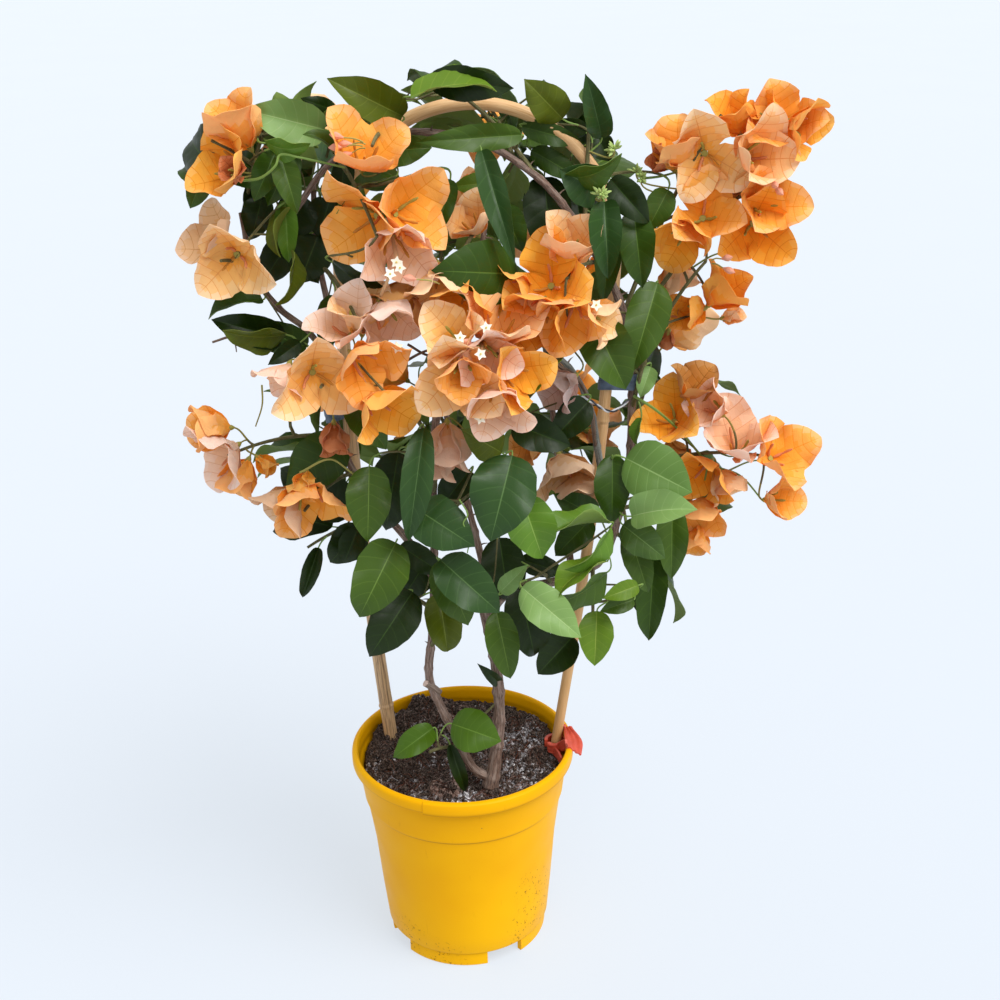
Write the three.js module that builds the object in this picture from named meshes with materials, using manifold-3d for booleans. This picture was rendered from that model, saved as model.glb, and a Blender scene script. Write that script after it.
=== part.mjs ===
// A potted bougainvillea: a woody shrub trained on a cane hoop in a plastic nursery pot.
// Millimetres, +Z up. The origin is at the middle of the pot's underside; the front looks along -Y.
import * as THREE from "three";
import { mergeVertices } from "three/addons/utils/BufferGeometryUtils.js";
import Module from "manifold-3d";

const wasm = await Module();
wasm.setup();

// ---- driving dimensions -------------------------------------------------------------------------

const gap = 0.35; // clear space between neighbouring solids
const pot = {
  height: 164,
  rimRadius: 85,
  lipHeight: 10,
  collarHeight: 38, // from the rim down to the step in the wall
  baseRadius: 63,
  footHeight: 12,
  footRadius: 61,
  footWidth: 4,
  bossRadius: 14,
  wall: 2,
  notches: 4,
  notchWidth: 29,
  firstNotch: 26.6, // degrees from the front, towards +X
  segments: 28,
};
const soil = { top: 143.6, edgeDrop: 3, edgeWidth: 10 };
const cane = {
  foot: 118, // lower end, down in the soil
  shoulder: 543, // where the legs turn into the arch
  archRadius: 94,
  archCentre: 13,
  footCentre: -1,
  footHalfWidth: 63.5,
  leftRadius: 5.2,
  rightRadius: 3.7,
  middle: new THREE.Vector2(9, 19), // the hoop's plane passes through here ...
  heading: new THREE.Vector2(0.988, -0.155), // ... and runs this way
};
const clip = {
  thickness: 3,
  height: 6,
  hookDepth: 9,
  width: 11,
  slack: 0.9, // room in the ring for the cane's slant
};
const tie = { thickness: 1.2, height: 5, slack: 0.7 };
const trunkFlare = { extra: 1.9, falling: 14 }; // wider at the foot, and how fast that fades
const twig = { radius: 2.1, taper: 0.72 };
const leaf = { length: 62, width: 42, thickness: 1.2, fold: 0.16, droop: 0.1 };
const sunk = { leaf: 0.2, bloom: 0.4 }; // how far a root reaches into its stem
const bract = { length: 37, thickness: 2.2, opening: 52, stalk: 1.5, stalkTaper: 0.55 };
const goldenAngle = 137.5;
const crowded = 4; // a stem with more leaves than this starts them nearer its limb
const crown = {
  axis: new THREE.Vector3(20, 5, 0), // the upright line that leaves turn away from
  low: [-172, -122, 168],
  high: [253, 132, 667],
};

// ---- solids -------------------------------------------------------------------------------------

const up = new THREE.Vector3(0, 0, 1);
const point = (x, y, z) => new THREE.Vector3(x, y, z);
const mix = THREE.MathUtils.lerp;
const radians = THREE.MathUtils.degToRad;

// A three.js geometry as a solid that can be joined and cut.
function solid(geometry) {
  const bare = geometry.clone();
  bare.deleteAttribute("normal");
  bare.deleteAttribute("uv");
  const merged = mergeVertices(bare, 1e-4);
  return new wasm.Manifold(
    new wasm.Mesh({
      numProp: 3,
      vertProperties: new Float32Array(merged.attributes.position.array),
      triVerts: new Uint32Array(merged.index.array),
    }),
  );
}

function geometryOf(body) {
  const { numProp, vertProperties, triVerts } = body.getMesh();
  const positions = new Float32Array((vertProperties.length / numProp) * 3);
  for (let i = 0; i < positions.length / 3; i += 1) {
    positions.set(vertProperties.subarray(i * numProp, i * numProp + 3), i * 3);
  }
  const geometry = new THREE.BufferGeometry();
  geometry.setAttribute("position", new THREE.BufferAttribute(positions, 3));
  geometry.setIndex(new THREE.BufferAttribute(new Uint32Array(triVerts), 1));
  geometry.computeVertexNormals();
  return geometry;
}

function join(bodies) {
  return wasm.Manifold.union(bodies);
}

// The largest connected body, without loose scraps or sealed hollows.
function largest(body) {
  const bodies = body.decompose();
  return bodies.reduce((best, next) => (next.volume() > best.volume() ? next : best));
}

// Part of a curve, by shares of its length.
class Stretch extends THREE.Curve {
  constructor(curve, from, to) {
    super();
    this.curve = curve;
    this.from = from;
    this.to = to;
  }

  getPoint(share, target = new THREE.Vector3()) {
    return this.curve.getPointAt(mix(this.from, this.to, share), target);
  }
}

// A closed tapering tube: a capped cylinder whose rings are set square to the curve.
function tube(curve, radiusAt, sides, steps) {
  const geometry = new THREE.CylinderGeometry(1, 1, 1, sides, steps);
  const { normals, binormals } = curve.computeFrenetFrames(steps, false);
  const positions = geometry.attributes.position;
  for (let i = 0; i < positions.count; i += 1) {
    const share = positions.getY(i) + 0.5;
    const step = Math.round(share * steps);
    const radius = radiusAt(share);
    const corner = curve.getPointAt(share);
    corner.addScaledVector(binormals[step], positions.getX(i) * radius);
    corner.addScaledVector(normals[step], positions.getZ(i) * radius);
    positions.setXYZ(i, corner.x, corner.y, corner.z);
  }
  return solid(geometry);
}

function lathe(profile, segments) {
  const outline = profile.map(([radius, z]) => new THREE.Vector2(radius, z));
  return solid(new THREE.LatheGeometry(outline, segments).rotateX(Math.PI / 2));
}

// ---- pot and soil -------------------------------------------------------------------------------

// Outer wall: a narrow foot ring, a wall in two slopes, a step, a collar and a rolled lip.
const lipBottom = pot.height - pot.lipHeight;
const step = pot.height - pot.collarHeight;
const outerWall = [
  [pot.baseRadius, pot.footHeight],
  [pot.baseRadius + 3.2, 44],
  [pot.baseRadius + 6.8, 87],
  [pot.baseRadius + 11.8, step - 3],
  [pot.baseRadius + 13.2, step],
  [pot.rimRadius - 4.4, lipBottom],
];
const innerWall = outerWall.map(([radius, z]) => [radius - pot.wall, z]);
innerWall[0] = [pot.baseRadius - pot.wall, pot.footHeight + pot.wall];

function makePot() {
  const ring = pot.footRadius - pot.footWidth;
  const body = lathe(
    [
      [0, 0],
      [pot.bossRadius, 0],
      [pot.bossRadius, pot.footHeight],
      [ring, pot.footHeight],
      [ring, 0],
      [pot.footRadius, 0],
      [pot.footRadius, pot.footHeight - 0.5],
      ...outerWall,
      [pot.rimRadius, lipBottom + 1],
      [pot.rimRadius, pot.height - 1.5],
      [pot.rimRadius - 1.5, pot.height],
      [pot.rimRadius - 4.5, pot.height],
      ...innerWall.toReversed(),
      [0, pot.footHeight + pot.wall],
    ],
    pot.segments,
  );
  const notches = [];
  for (let i = 0; i < pot.notches; i += 1) {
    const notch = new THREE.BoxGeometry(pot.notchWidth, 24, pot.footHeight);
    notch.translate(0, -pot.footRadius, pot.footHeight / 2 - 1);
    notch.rotateZ(radians(pot.firstNotch + (360 / pot.notches) * i));
    notches.push(solid(notch));
  }
  return body.subtract(join(notches));
}

function makeSoil() {
  const side = innerWall
    .filter(([, z]) => z < soil.top - soil.edgeDrop)
    .map(([radius, z]) => [radius - gap - 0.2, z]);
  side[0][1] += gap;
  const [lower, higher] = innerWall.slice(-2);
  const rise = (soil.top - soil.edgeDrop - lower[1]) / (higher[1] - lower[1]);
  const edge = mix(lower[0], higher[0], rise) - gap - 0.2;
  return lathe(
    [
      [0, side[0][1]],
      ...side,
      [edge, soil.top - soil.edgeDrop],
      [edge - soil.edgeWidth, soil.top],
      [0, soil.top],
    ],
    pot.segments,
  );
}

// ---- limbs --------------------------------------------------------------------------------------

const limbs = new Map();

// A limb, with a swollen copy of itself that others are cut clear of.
function addLimb(name, curve, radiusAt, { sides = 6, steps = 9, parent = null } = {}) {
  const swollen = [tube(curve, (share) => radiusAt(share) + gap, sides, steps)];
  for (const end of [0, 1]) {
    const ball = new THREE.SphereGeometry(radiusAt(end) + gap, 6, 4);
    const place = curve.getPointAt(end);
    swollen.push(solid(ball.translate(place.x, place.y, place.z)));
  }
  let body = tube(curve, radiusAt, sides, steps);
  if (parent) body = largest(body.subtract(limbs.get(parent).keepOut));
  limbs.set(name, { name, curve, radiusAt, body, keepOut: join(swollen) });
}

// One long curve as several limbs, end to end with a fine gap at each cut.
function addRun(curve, radiusAt, cuts, names, options = {}) {
  const trim = gap / 2 / curve.getLength();
  names.forEach((name, i) => {
    const from = cuts[i] + (i > 0 ? trim : 0);
    const to = cuts[i + 1] - (i < names.length - 1 ? trim : 0);
    const radius = (share) => radiusAt(mix(from, to, share));
    const parent = i === 0 ? options.parent : null;
    addLimb(name, new Stretch(curve, from, to), radius, { ...options, parent });
  });
}

const smooth = (...points) => new THREE.CatmullRomCurve3(points.map((p) => point(...p)));

// A place on the hoop's plane, by distance along its heading and by height.
function onHoop(along, z) {
  const x = cane.middle.x + cane.heading.x * along;
  const y = cane.middle.y + cane.heading.y * along;
  return point(x, y, z);
}

// The hoop from its left foot over the arch to its right foot.
class Hoop extends THREE.Curve {
  getPoint(share, target = new THREE.Vector3()) {
    const legShare = 0.37;
    const rise = cane.shoulder - cane.foot;
    if (share > legShare && share < 1 - legShare) {
      const angle = Math.PI * (1 - (share - legShare) / (1 - 2 * legShare));
      const along = cane.archCentre + cane.archRadius * Math.cos(angle);
      return target.copy(onHoop(along, cane.shoulder + cane.archRadius * Math.sin(angle)));
    }
    const climbed = Math.min(share, 1 - share) / legShare;
    const z = cane.foot + rise * climbed;
    const height = (z - soil.top) / (cane.shoulder - soil.top);
    const spread = cane.archRadius - cane.footHalfWidth;
    const half = cane.footHalfWidth + spread * Math.sin((Math.PI / 2) * height);
    const centre = mix(cane.footCentre, cane.archCentre, height);
    return target.copy(onHoop(share < 0.5 ? centre - half : centre + half, z));
  }
}

function addCane() {
  const hoop = new Hoop();
  hoop.arcLengthDivisions = 400;
  const leg = cane.shoulder - cane.foot + 2;
  const cut = leg / hoop.getLength();
  const radiusAt = (share) => mix(cane.leftRadius, cane.rightRadius, share);
  addRun(hoop, radiusAt, [0, cut, 0.5, 1 - cut, 1], [
    "cane_leg_left",
    "cane_arch_left",
    "cane_arch_right",
    "cane_leg_right",
  ]);
}

function addWood() {
  const foot = soil.top + gap;
  const trunkCurve = smooth(
    [20, -32, foot],
    [24.5, -31, 170],
    [28, -29.5, 206],
    [26.5, -27, 244],
    [18, -21, 292],
  );
  const flare = (share) => trunkFlare.extra * Math.exp(-share * trunkFlare.falling);
  addLimb("trunk", trunkCurve, (share) => mix(4.6, 3.4, share) + flare(share), {
    sides: 8,
    steps: 12,
  });
  const levelFoot = new THREE.BoxGeometry(60, 60, 20).translate(20, -32, foot - 10);
  const trunk = limbs.get("trunk");
  trunk.body = trunk.body.subtract(solid(levelFoot));

  const leftStem = smooth(
    [20, -32, 151],
    [8, -33, 160],
    [-3, -33, 186],
    [-15, -33, 216],
    [-22, -32, 238],
    [-18, -30.5, 280],
    [-15, -28, 331],
    [-13, -24, 390],
    [-10, -18, 434],
  );
  addLimb("stem_left", leftStem, (share) => mix(3.3, 2.2, share), { steps: 14, parent: "trunk" });

  const rightLeader = smooth(
    [21, -23, 282],
    [36, -14, 295],
    [60, -10, 299],
    [84, -6, 303],
    [106, -1, 314],
    [118, 1, 346],
    [125, 2, 378],
    [127, 2, 430],
    [125, 0, 478],
    [115, -6, 512],
    [97, -8, 546],
    [68, -6, 587],
    [29, -3, 614],
    [-6, -6, 623],
    [-40, -7, 622],
    [-72, -6, 604],
    [-96, -4, 574],
  );
  addRun(rightLeader, (share) => mix(3.3, 1.9, share), [0, 0.21, 0.47, 0.72, 1], [
    "bough_right",
    "bough_right_rise",
    "bough_arch_right",
    "bough_arch_left",
  ], { parent: "trunk" });

  const leftLeader = smooth(
    [-16, -28.5, 318],
    [-36, -14, 345],
    [-58, 0, 368],
    [-75, 11, 398],
    [-82, 16, 432],
    [-82, 15, 466],
    [-96, 12, 490],
    [-113, 11, 506],
    [-127, 10, 530],
    [-132, 9, 572],
  );
  addRun(leftLeader, (share) => mix(2.7, 1.9, share), [0, 0.52, 1], [
    "bough_left",
    "bough_left_upper",
  ], { parent: "stem_left" });

  const inner = smooth([-82, 15.5, 458], [-79, 8, 500], [-85, 10, 548], [-84, 14, 588]);
  addLimb("bough_left_inner", inner, (share) => mix(2.3, 1.8, share), {
    steps: 7,
    parent: "bough_left_upper",
  });

  const grey = smooth(
    [118, 1, 350],
    [108, -8, 368],
    [102, -11, 402],
    [96, -13, 436],
    [84, -14, 462],
    [62, -15, 484],
  );
  addLimb("bough_grey", grey, (share) => mix(2.6, 1.9, share), { parent: "bough_right_rise" });

  const middle = smooth([-10.5, -19, 424], [0, -10, 474], [22, -4, 528], [29, 2, 572]);
  addLimb("bough_middle", middle, (share) => mix(2.2, 1.8, share), {
    steps: 8,
    parent: "stem_left",
  });

  const back = smooth([26, -26.5, 250], [20, 8, 306], [6, 36, 368], [-6, 50, 440], [-4, 56, 490]);
  addLimb("bough_back", back, (share) => mix(2.8, 1.9, share), { parent: "trunk" });

  const backRight = smooth([84, -6, 303], [82, 28, 340], [76, 46, 400], [70, 52, 462]);
  addLimb("bough_back_right", backRight, (share) => mix(2.5, 1.9, share), {
    steps: 8,
    parent: "bough_right",
  });
}

// ---- clip and ties ------------------------------------------------------------------------------

// A ring round the right leg of the cane that lies on the rim, with a tongue hooked over the lip.
function makeClip() {
  const { curve, radiusAt } = limbs.get("cane_leg_right");
  const bottom = pot.height + gap;
  const share = THREE.MathUtils.inverseLerp(cane.shoulder, cane.foot, bottom + clip.height / 2);
  const place = curve.getPointAt(share);
  const hole = radiusAt(share) + gap + clip.slack;
  const ring = lathe(
    [
      [hole, 0],
      [hole + clip.thickness, 0],
      [hole + clip.thickness, clip.height],
      [hole, clip.height],
      [hole, 0],
    ],
    16,
  ).translate([place.x, place.y, bottom]);
  const distance = Math.hypot(place.x, place.y);
  const reach = pot.rimRadius + gap + clip.thickness;
  const start = distance + hole + 0.6;
  const tongue = new THREE.BoxGeometry(reach - start, clip.width, clip.thickness);
  tongue.translate((start + reach) / 2, 0, bottom + clip.thickness / 2);
  const hook = new THREE.BoxGeometry(clip.thickness, clip.width, clip.hookDepth + clip.thickness);
  hook.translate(
    reach - clip.thickness / 2,
    0,
    bottom + clip.thickness - (clip.hookDepth + clip.thickness) / 2,
  );
  const turn = Math.atan2(place.y, place.x);
  return join([ring, solid(tongue.rotateZ(turn)), solid(hook.rotateZ(turn))]);
}

// A strip tied round two limbs at one height: an oval band, square to the first of them.
function makeTie(first, firstShare, second, secondShare) {
  const a = limbs.get(first);
  const b = limbs.get(second);
  const from = a.curve.getPointAt(firstShare);
  const to = b.curve.getPointAt(secondShare);
  const middle = from.clone().add(to).multiplyScalar(0.5);
  const across = to.clone().sub(from);
  const half = across.length() / 2;
  const radius = Math.max(a.radiusAt(firstShare), b.radiusAt(secondShare)) + gap + tie.slack;
  const axis = a.curve.getTangentAt(firstShare);
  const other = b.curve.getTangentAt(secondShare);
  axis.addScaledVector(other, Math.sign(axis.dot(other))).normalize();
  across.addScaledVector(axis, -across.dot(axis)).normalize();
  const oval = (outline, size) => {
    outline.absarc(half, 0, size, -Math.PI / 2, Math.PI / 2, false);
    outline.absarc(-half, 0, size, Math.PI / 2, (Math.PI * 3) / 2, false);
    return outline;
  };
  const band = oval(new THREE.Shape(), radius + tie.thickness);
  band.holes.push(oval(new THREE.Path(), radius));
  const strip = new THREE.ExtrudeGeometry(band, {
    depth: tie.height,
    bevelEnabled: false,
    curveSegments: 4,
  });
  strip.translate(0, 0, -tie.height / 2);
  const side = new THREE.Vector3().crossVectors(axis, across);
  strip.applyMatrix4(new THREE.Matrix4().makeBasis(across, side, axis).setPosition(middle));
  return solid(strip);
}

// ---- leaves and bracts --------------------------------------------------------------------------

// A seeded row of numbers from 0 to 1.
function chance(seed) {
  let state = seed;
  const next = () => {
    state = (state * 48271) % 2147483647;
    return state / 2147483647;
  };
  for (let i = 0; i < 4; i += 1) next();
  return next;
}

const leafOutline = [
  [0.27, 0.5],
  [0.62, 0.36],
];

// A thin blade folded along its midrib, from an upright root edge to a tip. The outline gives, for
// one side, shares of the length and of the width; extra widens and thickens it all round.
function blade(root, along, face, form, outline, extra = 0) {
  const side = new THREE.Vector3().crossVectors(face, along);
  const at = (share, across, lift) =>
    root
      .clone()
      .addScaledVector(along, share * form.length)
      .addScaledVector(side, across)
      .addScaledVector(face, lift - form.droop * form.length * share * share);
  const half = form.thickness / 2 + extra;
  const corners = [at(0, 0, half)];
  for (const [share, width] of outline) {
    const reach = width * form.width;
    corners.push(at(share, -reach - extra, reach * form.fold));
  }
  corners.push(at(1, 0, 0).addScaledVector(along, extra));
  for (const [share, width] of outline.toReversed()) {
    const reach = width * form.width;
    corners.push(at(share, reach + extra, reach * form.fold));
  }
  const rim = corners.length;
  const [rootLow, high, low] = [rim, rim + 1, rim + 2];
  corners.push(at(0, 0, -half), at(0.45, 0, half), at(0.45, 0, -half));
  const faces = [];
  for (let i = 0; i < rim; i += 1) {
    const next = (i + 1) % rim;
    faces.push(high, i, next);
    faces.push(low, next || rootLow, i || rootLow);
  }
  faces.push(0, rootLow, 1, rootLow, 0, rim - 1);
  const geometry = new THREE.BufferGeometry().setFromPoints(corners);
  geometry.setIndex(faces);
  return solid(geometry);
}

// A bloom as one solid: three pointed bracts in an open cup on a three-sided stalk. Each bract has a
// hollow beside it, two wide points and a tip.
function bloomCup(root, centre, twist, form, extra = 0) {
  const heading = centre.clone().sub(root).normalize();
  const reach = form.length + extra;
  const cup = radians(form.opening);
  const at = (share, angle, lift) => {
    const along = heading.clone().multiplyScalar(Math.cos(cup));
    along.addScaledVector(outFrom(heading, twist + angle), Math.sin(cup));
    return centre.clone().addScaledVector(along, share * reach).addScaledVector(heading, lift);
  };
  const around = (place, radius, angle) =>
    place.clone().addScaledVector(outFrom(heading, twist + angle), radius);
  const corners = [];
  for (let petal = 0; petal < 3; petal += 1) {
    const angle = 120 * petal;
    corners.push(at(0.3, angle - 60, 0), at(0.66, angle - 33, 2));
    corners.push(at(1, angle, 0), at(0.66, angle + 33, 2));
  }
  const stalk = form.stalk + 2 * extra;
  const under = centre.clone().addScaledVector(heading, -form.thickness - extra);
  const stalkEnds = [
    { place: under, radius: stalk },
    { place: root, radius: stalk * form.stalkTaper },
  ];
  for (const { place, radius } of stalkEnds) {
    for (let petal = 0; petal < 3; petal += 1) corners.push(around(place, radius, 120 * petal));
  }
  const [neck, foot, middle] = [12, 15, 18];
  corners.push(centre.clone().addScaledVector(heading, extra));
  const faces = [];
  for (let petal = 0; petal < 3; petal += 1) {
    const after = (petal + 1) % 3;
    for (let i = 4 * petal; i < 4 * petal + 4; i += 1) {
      const next = (i + 1) % 12;
      faces.push(middle, i, next, neck + petal, next, i);
    }
    faces.push(neck + petal, neck + after, 4 * after);
    faces.push(neck + after, neck + petal, foot + petal);
    faces.push(neck + after, foot + petal, foot + after);
  }
  faces.push(foot, foot + 2, foot + 1);
  const geometry = new THREE.BufferGeometry().setFromPoints(corners);
  geometry.setIndex(faces);
  return solid(geometry);
}

// ---- the masses of foliage ----------------------------------------------------------------------

// Each row: name, the limb it grows on, the share along that limb, the tip of its stem, then how many
// leaves and how many blooms it carries. Blooms stand in a truss at the tip.
const masses = [
  ["top_left", "bough_arch_left", 0.97, [-143, -18, 624], 4, 3],
  ["left_shoulder", "bough_left_upper", 0.7, [-142, -34, 551], 3, 4],
  ["top_left_leaves", "bough_left_upper", 0.97, [-106, 6, 640], 6, 0],
  ["front_top_left", "bough_arch_left", 0.5, [-41, -54, 624], 2, 3],
  ["front_upper_left", "bough_arch_left", 0.72, [-40, -78, 574], 2, 4],
  ["front_left_middle", "bough_left_inner", 0.6, [-53, -74, 514], 3, 4],
  ["front_left_low", "bough_left", 0.9, [-80, -84, 481], 3, 3],
  ["front_left_inner", "stem_left", 0.93, [-40, -84, 476], 2, 3],
  ["left_low_outer", "bough_left", 0.78, [-152, -22, 413], 2, 3],
  ["left_low", "bough_left", 0.6, [-100, -52, 383], 4, 2],
  ["middle_upper", "bough_middle", 0.95, [3, -72, 540], 4, 2],
  ["middle_front", "bough_grey", 0.97, [30, -90, 500], 2, 5],
  ["right_front", "bough_arch_right", 0.35, [76, -66, 540], 4, 5],
  ["withered", "stem_left", 0.82, [-6, -56, 420], 5, 2],
  ["right_high_outer", "bough_right_rise", 0.97, [210, -6, 588], 1, 5],
  ["right_high", "bough_arch_right", 0.08, [182, -2, 628], 2, 5],
  ["right_middle", "bough_right_rise", 0.75, [172, -18, 536], 2, 4],
  ["right_low_outer", "bough_right_rise", 0.3, [216, -16, 396], 1, 5],
  ["right_low", "bough_right_rise", 0.1, [176, -4, 352], 3, 3],
  ["top_middle", "bough_arch_right", 0.85, [10, 2, 648], 7, 0],
  ["top_right", "bough_arch_right", 0.5, [98, 6, 634], 6, 0],
  ["right_leaves", "bough_right_rise", 0.6, [136, -34, 500], 6, 0],
  ["middle_leaves", "stem_left", 0.68, [10, -76, 400], 7, 0],
  ["front_low_left", "stem_left", 0.52, [-52, -70, 330], 7, 0],
  ["front_low_middle", "stem_left", 0.42, [8, -74, 318], 7, 0],
  ["front_low_right", "bough_right", 0.45, [56, -58, 330], 7, 0],
  ["low_right", "bough_right", 0.72, [96, -38, 282], 6, 0],
  ["right_low_leaves", "bough_right", 0.97, [146, -20, 312], 6, 0],
  ["left_low_leaves", "bough_left", 0.35, [-104, -14, 338], 6, 0],
  ["low_shoot", "stem_left", 0.12, [-24, -54, 190], 3, 0],
  ["back_middle", "bough_back", 0.55, [-14, 96, 410], 6, 3],
  ["back_upper", "bough_back", 0.97, [0, 84, 548], 6, 3],
  ["back_right", "bough_back_right", 0.97, [92, 86, 510], 6, 3],
  ["back_right_low", "bough_back_right", 0.5, [88, 92, 380], 6, 2],
  ["back_left", "bough_left", 0.5, [-84, 74, 404], 6, 3],
  ["back_left_upper", "bough_left_inner", 0.95, [-74, 62, 600], 6, 3],
  ["back_top", "bough_arch_right", 0.97, [34, 56, 628], 6, 2],
  ["right_side", "bough_right_rise", 0.45, [152, 52, 452], 5, 2],
];

const placed = []; // every piece that later pieces stay clear of

function keep(owner, body) {
  placed.push({ owner, body, box: body.boundingBox() });
}

const apart = (a, b) =>
  [0, 1, 2].some((i) => a.min[i] > b.max[i] + gap || b.min[i] > a.max[i] + gap);

// Whether a piece, given with its margin, stays in the crown and touches nothing but what owners names.
function isClear(body, owners) {
  const box = body.boundingBox();
  const inside = [0, 1, 2].every((i) => box.min[i] > crown.low[i] && box.max[i] < crown.high[i]);
  return inside && placed.every(
    (other) =>
      owners.includes(other.owner) || apart(box, other.box) || body.intersect(other.body).isEmpty(),
  );
}

const square = (vector, axis) => vector.clone().addScaledVector(axis, -vector.dot(axis)).normalize();

// The directions straight out from a stem, turned round it by an angle in degrees.
function outFrom(tangent, angle) {
  const first = square(Math.abs(tangent.z) < 0.9 ? up : point(0, -1, 0), tangent);
  return first.applyAxisAngle(tangent, radians(angle));
}

function outward(place) {
  return place.clone().sub(crown.axis).setZ(0).normalize();
}

// Shares of a stem's length that its middle is lifted and moved aside, in the order they are tried.
const bends = [
  [0.14, 0],
  [0.26, 0],
  [0.02, 0],
  [0.1, 0.3],
  [0.1, -0.3],
  [0.05, 0.6],
  [0.05, -0.6],
  [-0.12, 0],
];

// A stem from its limb to its tip, arching over. It starts on the limb's axis and is cut clear of it.
function growStem(mass) {
  const limb = limbs.get(mass.limb);
  const start = limb.curve.getPointAt(mass.share);
  const length = start.distanceTo(mass.tip);
  const beside = new THREE.Vector3().crossVectors(up, mass.tip.clone().sub(start)).normalize();
  for (const [lift, aside] of bends) {
    const bend = start.clone().lerp(mass.tip, 0.5).addScaledVector(up, lift * length);
    bend.addScaledVector(beside, aside * length);
    const curve = new THREE.QuadraticBezierCurve3(start, bend, mass.tip);
    const radiusAt = (share) => mix(twig.radius, twig.radius * twig.taper, share);
    const whole = tube(curve, radiusAt, 3, 3);
    let body = whole;
    for (const { keepOut } of limbs.values()) body = body.subtract(keepOut);
    const fat = tube(curve, (share) => radiusAt(share) + 2 * gap, 3, 3);
    if (body.isEmpty()) continue;
    body = largest(body);
    if (body.volume() < whole.volume() * 0.7 || !isClear(fat, ["limbs"])) continue;
    mass.curve = curve;
    mass.pieces.push(body);
    keep(mass.name, body);
    return;
  }
  throw new Error(mass.name + " finds no way for its stem");
}

// A truss of blooms round the tip. Their stalks leave the stem one behind the other.
function growTruss(mass) {
  const away = outward(mass.tip).multiplyScalar(0.6).add(mass.curve.getTangentAt(1));
  away.addScaledVector(up, 0.25).normalize();
  for (let i = 0; i < mass.blooms; i += 1) {
    const next = chance(mass.seed * 100 + i);
    const place = mass.curve.getPointAt(1 - 0.06 * i);
    const stalk = (i === 0 ? 8 : 17) + 8 * next();
    const size = 0.86 + 0.28 * next();
    const twist = 360 * next();
    for (let attempt = 0; attempt < 8; attempt += 1) {
      const turn = goldenAngle * i + 40 * mass.seed + 51 * attempt;
      const spread = i === 0 ? 0.1 * attempt : 1.1 + 0.15 * attempt;
      const heading = away.clone().addScaledVector(outFrom(away, turn), spread).normalize();
      const root = place.clone().addScaledVector(heading, -sunk.bloom);
      const centre = place.clone().addScaledVector(heading, stalk);
      const form = { ...bract, length: bract.length * size * (1 - 0.04 * attempt) };
      const body = bloomCup(root, centre, twist, form);
      const fat = bloomCup(root, centre, twist, form, gap + 0.15);
      const others = mass.pieces.slice(1);
      const crosses = others.some((other) => !body.intersect(other).isEmpty());
      if (crosses || !isClear(fat, [mass.name])) continue;
      mass.pieces.push(body);
      keep(mass.name, body);
      mass.flowering += 1;
      break;
    }
  }
}

// One leaf on the stem. It hangs out from the stem and shows its face to the light; where it would
// touch something it is turned round the stem, and skipped when no turn is clear.
function growLeaf(mass, index) {
  const next = chance(mass.seed * 1000 + index);
  const lowest = mass.leaves > crowded ? 0.2 : 0.3;
  const highest = mass.blooms ? 0.8 : 1; // blooms keep the tip to themselves
  const share = mix(lowest, highest, (index + 0.5) / mass.leaves);
  const place = mass.curve.getPointAt(share);
  const tangent = mass.curve.getTangentAt(share);
  const size = 0.8 + 0.38 * next();
  const hang = 0.25 + 0.6 * next();
  for (let attempt = 0; attempt < 9; attempt += 1) {
    const angle = goldenAngle * index + 83 * mass.seed + 47 * attempt * (attempt % 2 ? 1 : -1);
    const shrink = attempt < 5 ? 1 : 0.82;
    const along = outFrom(tangent, angle)
      .addScaledVector(tangent, 0.45)
      .addScaledVector(outward(place), 0.35)
      .addScaledVector(up, -hang)
      .normalize();
    const light = outward(place).addScaledVector(up, 0.75);
    const face = square(light, along);
    const form = {
      ...leaf,
      length: leaf.length * size * shrink,
      width: leaf.width * size * shrink,
    };
    const root = place.clone().addScaledVector(along, -sunk.leaf);
    const body = blade(root, along, face, form, leafOutline);
    const fat = blade(root, along, face, form, leafOutline, gap);
    const ownLeaves = mass.pieces.slice(1);
    const crosses = ownLeaves.some((other) => !body.intersect(other).isEmpty());
    if ((crosses && attempt < 8) || !isClear(fat, [mass.name])) continue;
    mass.pieces.push(body);
    keep(mass.name, body);
    mass.leafed += 1;
    return;
  }
}

function growMasses() {
  const grown = masses.map(([name, limb, share, tip, leaves, blooms], i) => ({
    name: "foliage_" + name,
    limb,
    share,
    tip: point(...tip),
    leaves,
    blooms,
    seed: i + 1,
    pieces: [],
    leafed: 0,
    flowering: 0,
  }));
  grown.forEach(growStem);
  grown.forEach(growTruss);
  for (let round = 0; round < 9; round += 1) {
    for (const mass of grown) if (round < mass.leaves) growLeaf(mass, round);
  }
  return grown;
}

// ---- assembly -----------------------------------------------------------------------------------

const finishes = {
  pot: new THREE.MeshStandardMaterial({ color: 0xf2b600, roughness: 0.42, metalness: 0 }),
  soil: new THREE.MeshStandardMaterial({ color: 0x3a3033, roughness: 0.96, metalness: 0 }),
  cane: new THREE.MeshStandardMaterial({ color: 0xb99b6b, roughness: 0.6, metalness: 0 }),
  clip: new THREE.MeshStandardMaterial({ color: 0xcf4a2c, roughness: 0.45, metalness: 0 }),
  tie: new THREE.MeshStandardMaterial({ color: 0x4d5b6b, roughness: 0.6, metalness: 0 }),
  bark: new THREE.MeshStandardMaterial({ color: 0x7d6a5d, roughness: 0.9, metalness: 0 }),
  leaf: new THREE.MeshStandardMaterial({ color: 0x2f6b2c, roughness: 0.5, metalness: 0 }),
  bract: new THREE.MeshStandardMaterial({ color: 0xf08b3c, roughness: 0.65, metalness: 0 }),
};

const shrub = new THREE.Group();
shrub.name = "potted_bougainvillea";

function addPart(name, body, finish) {
  const mesh = new THREE.Mesh(geometryOf(body), finishes[finish].clone());
  mesh.name = name;
  shrub.add(mesh);
}

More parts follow.
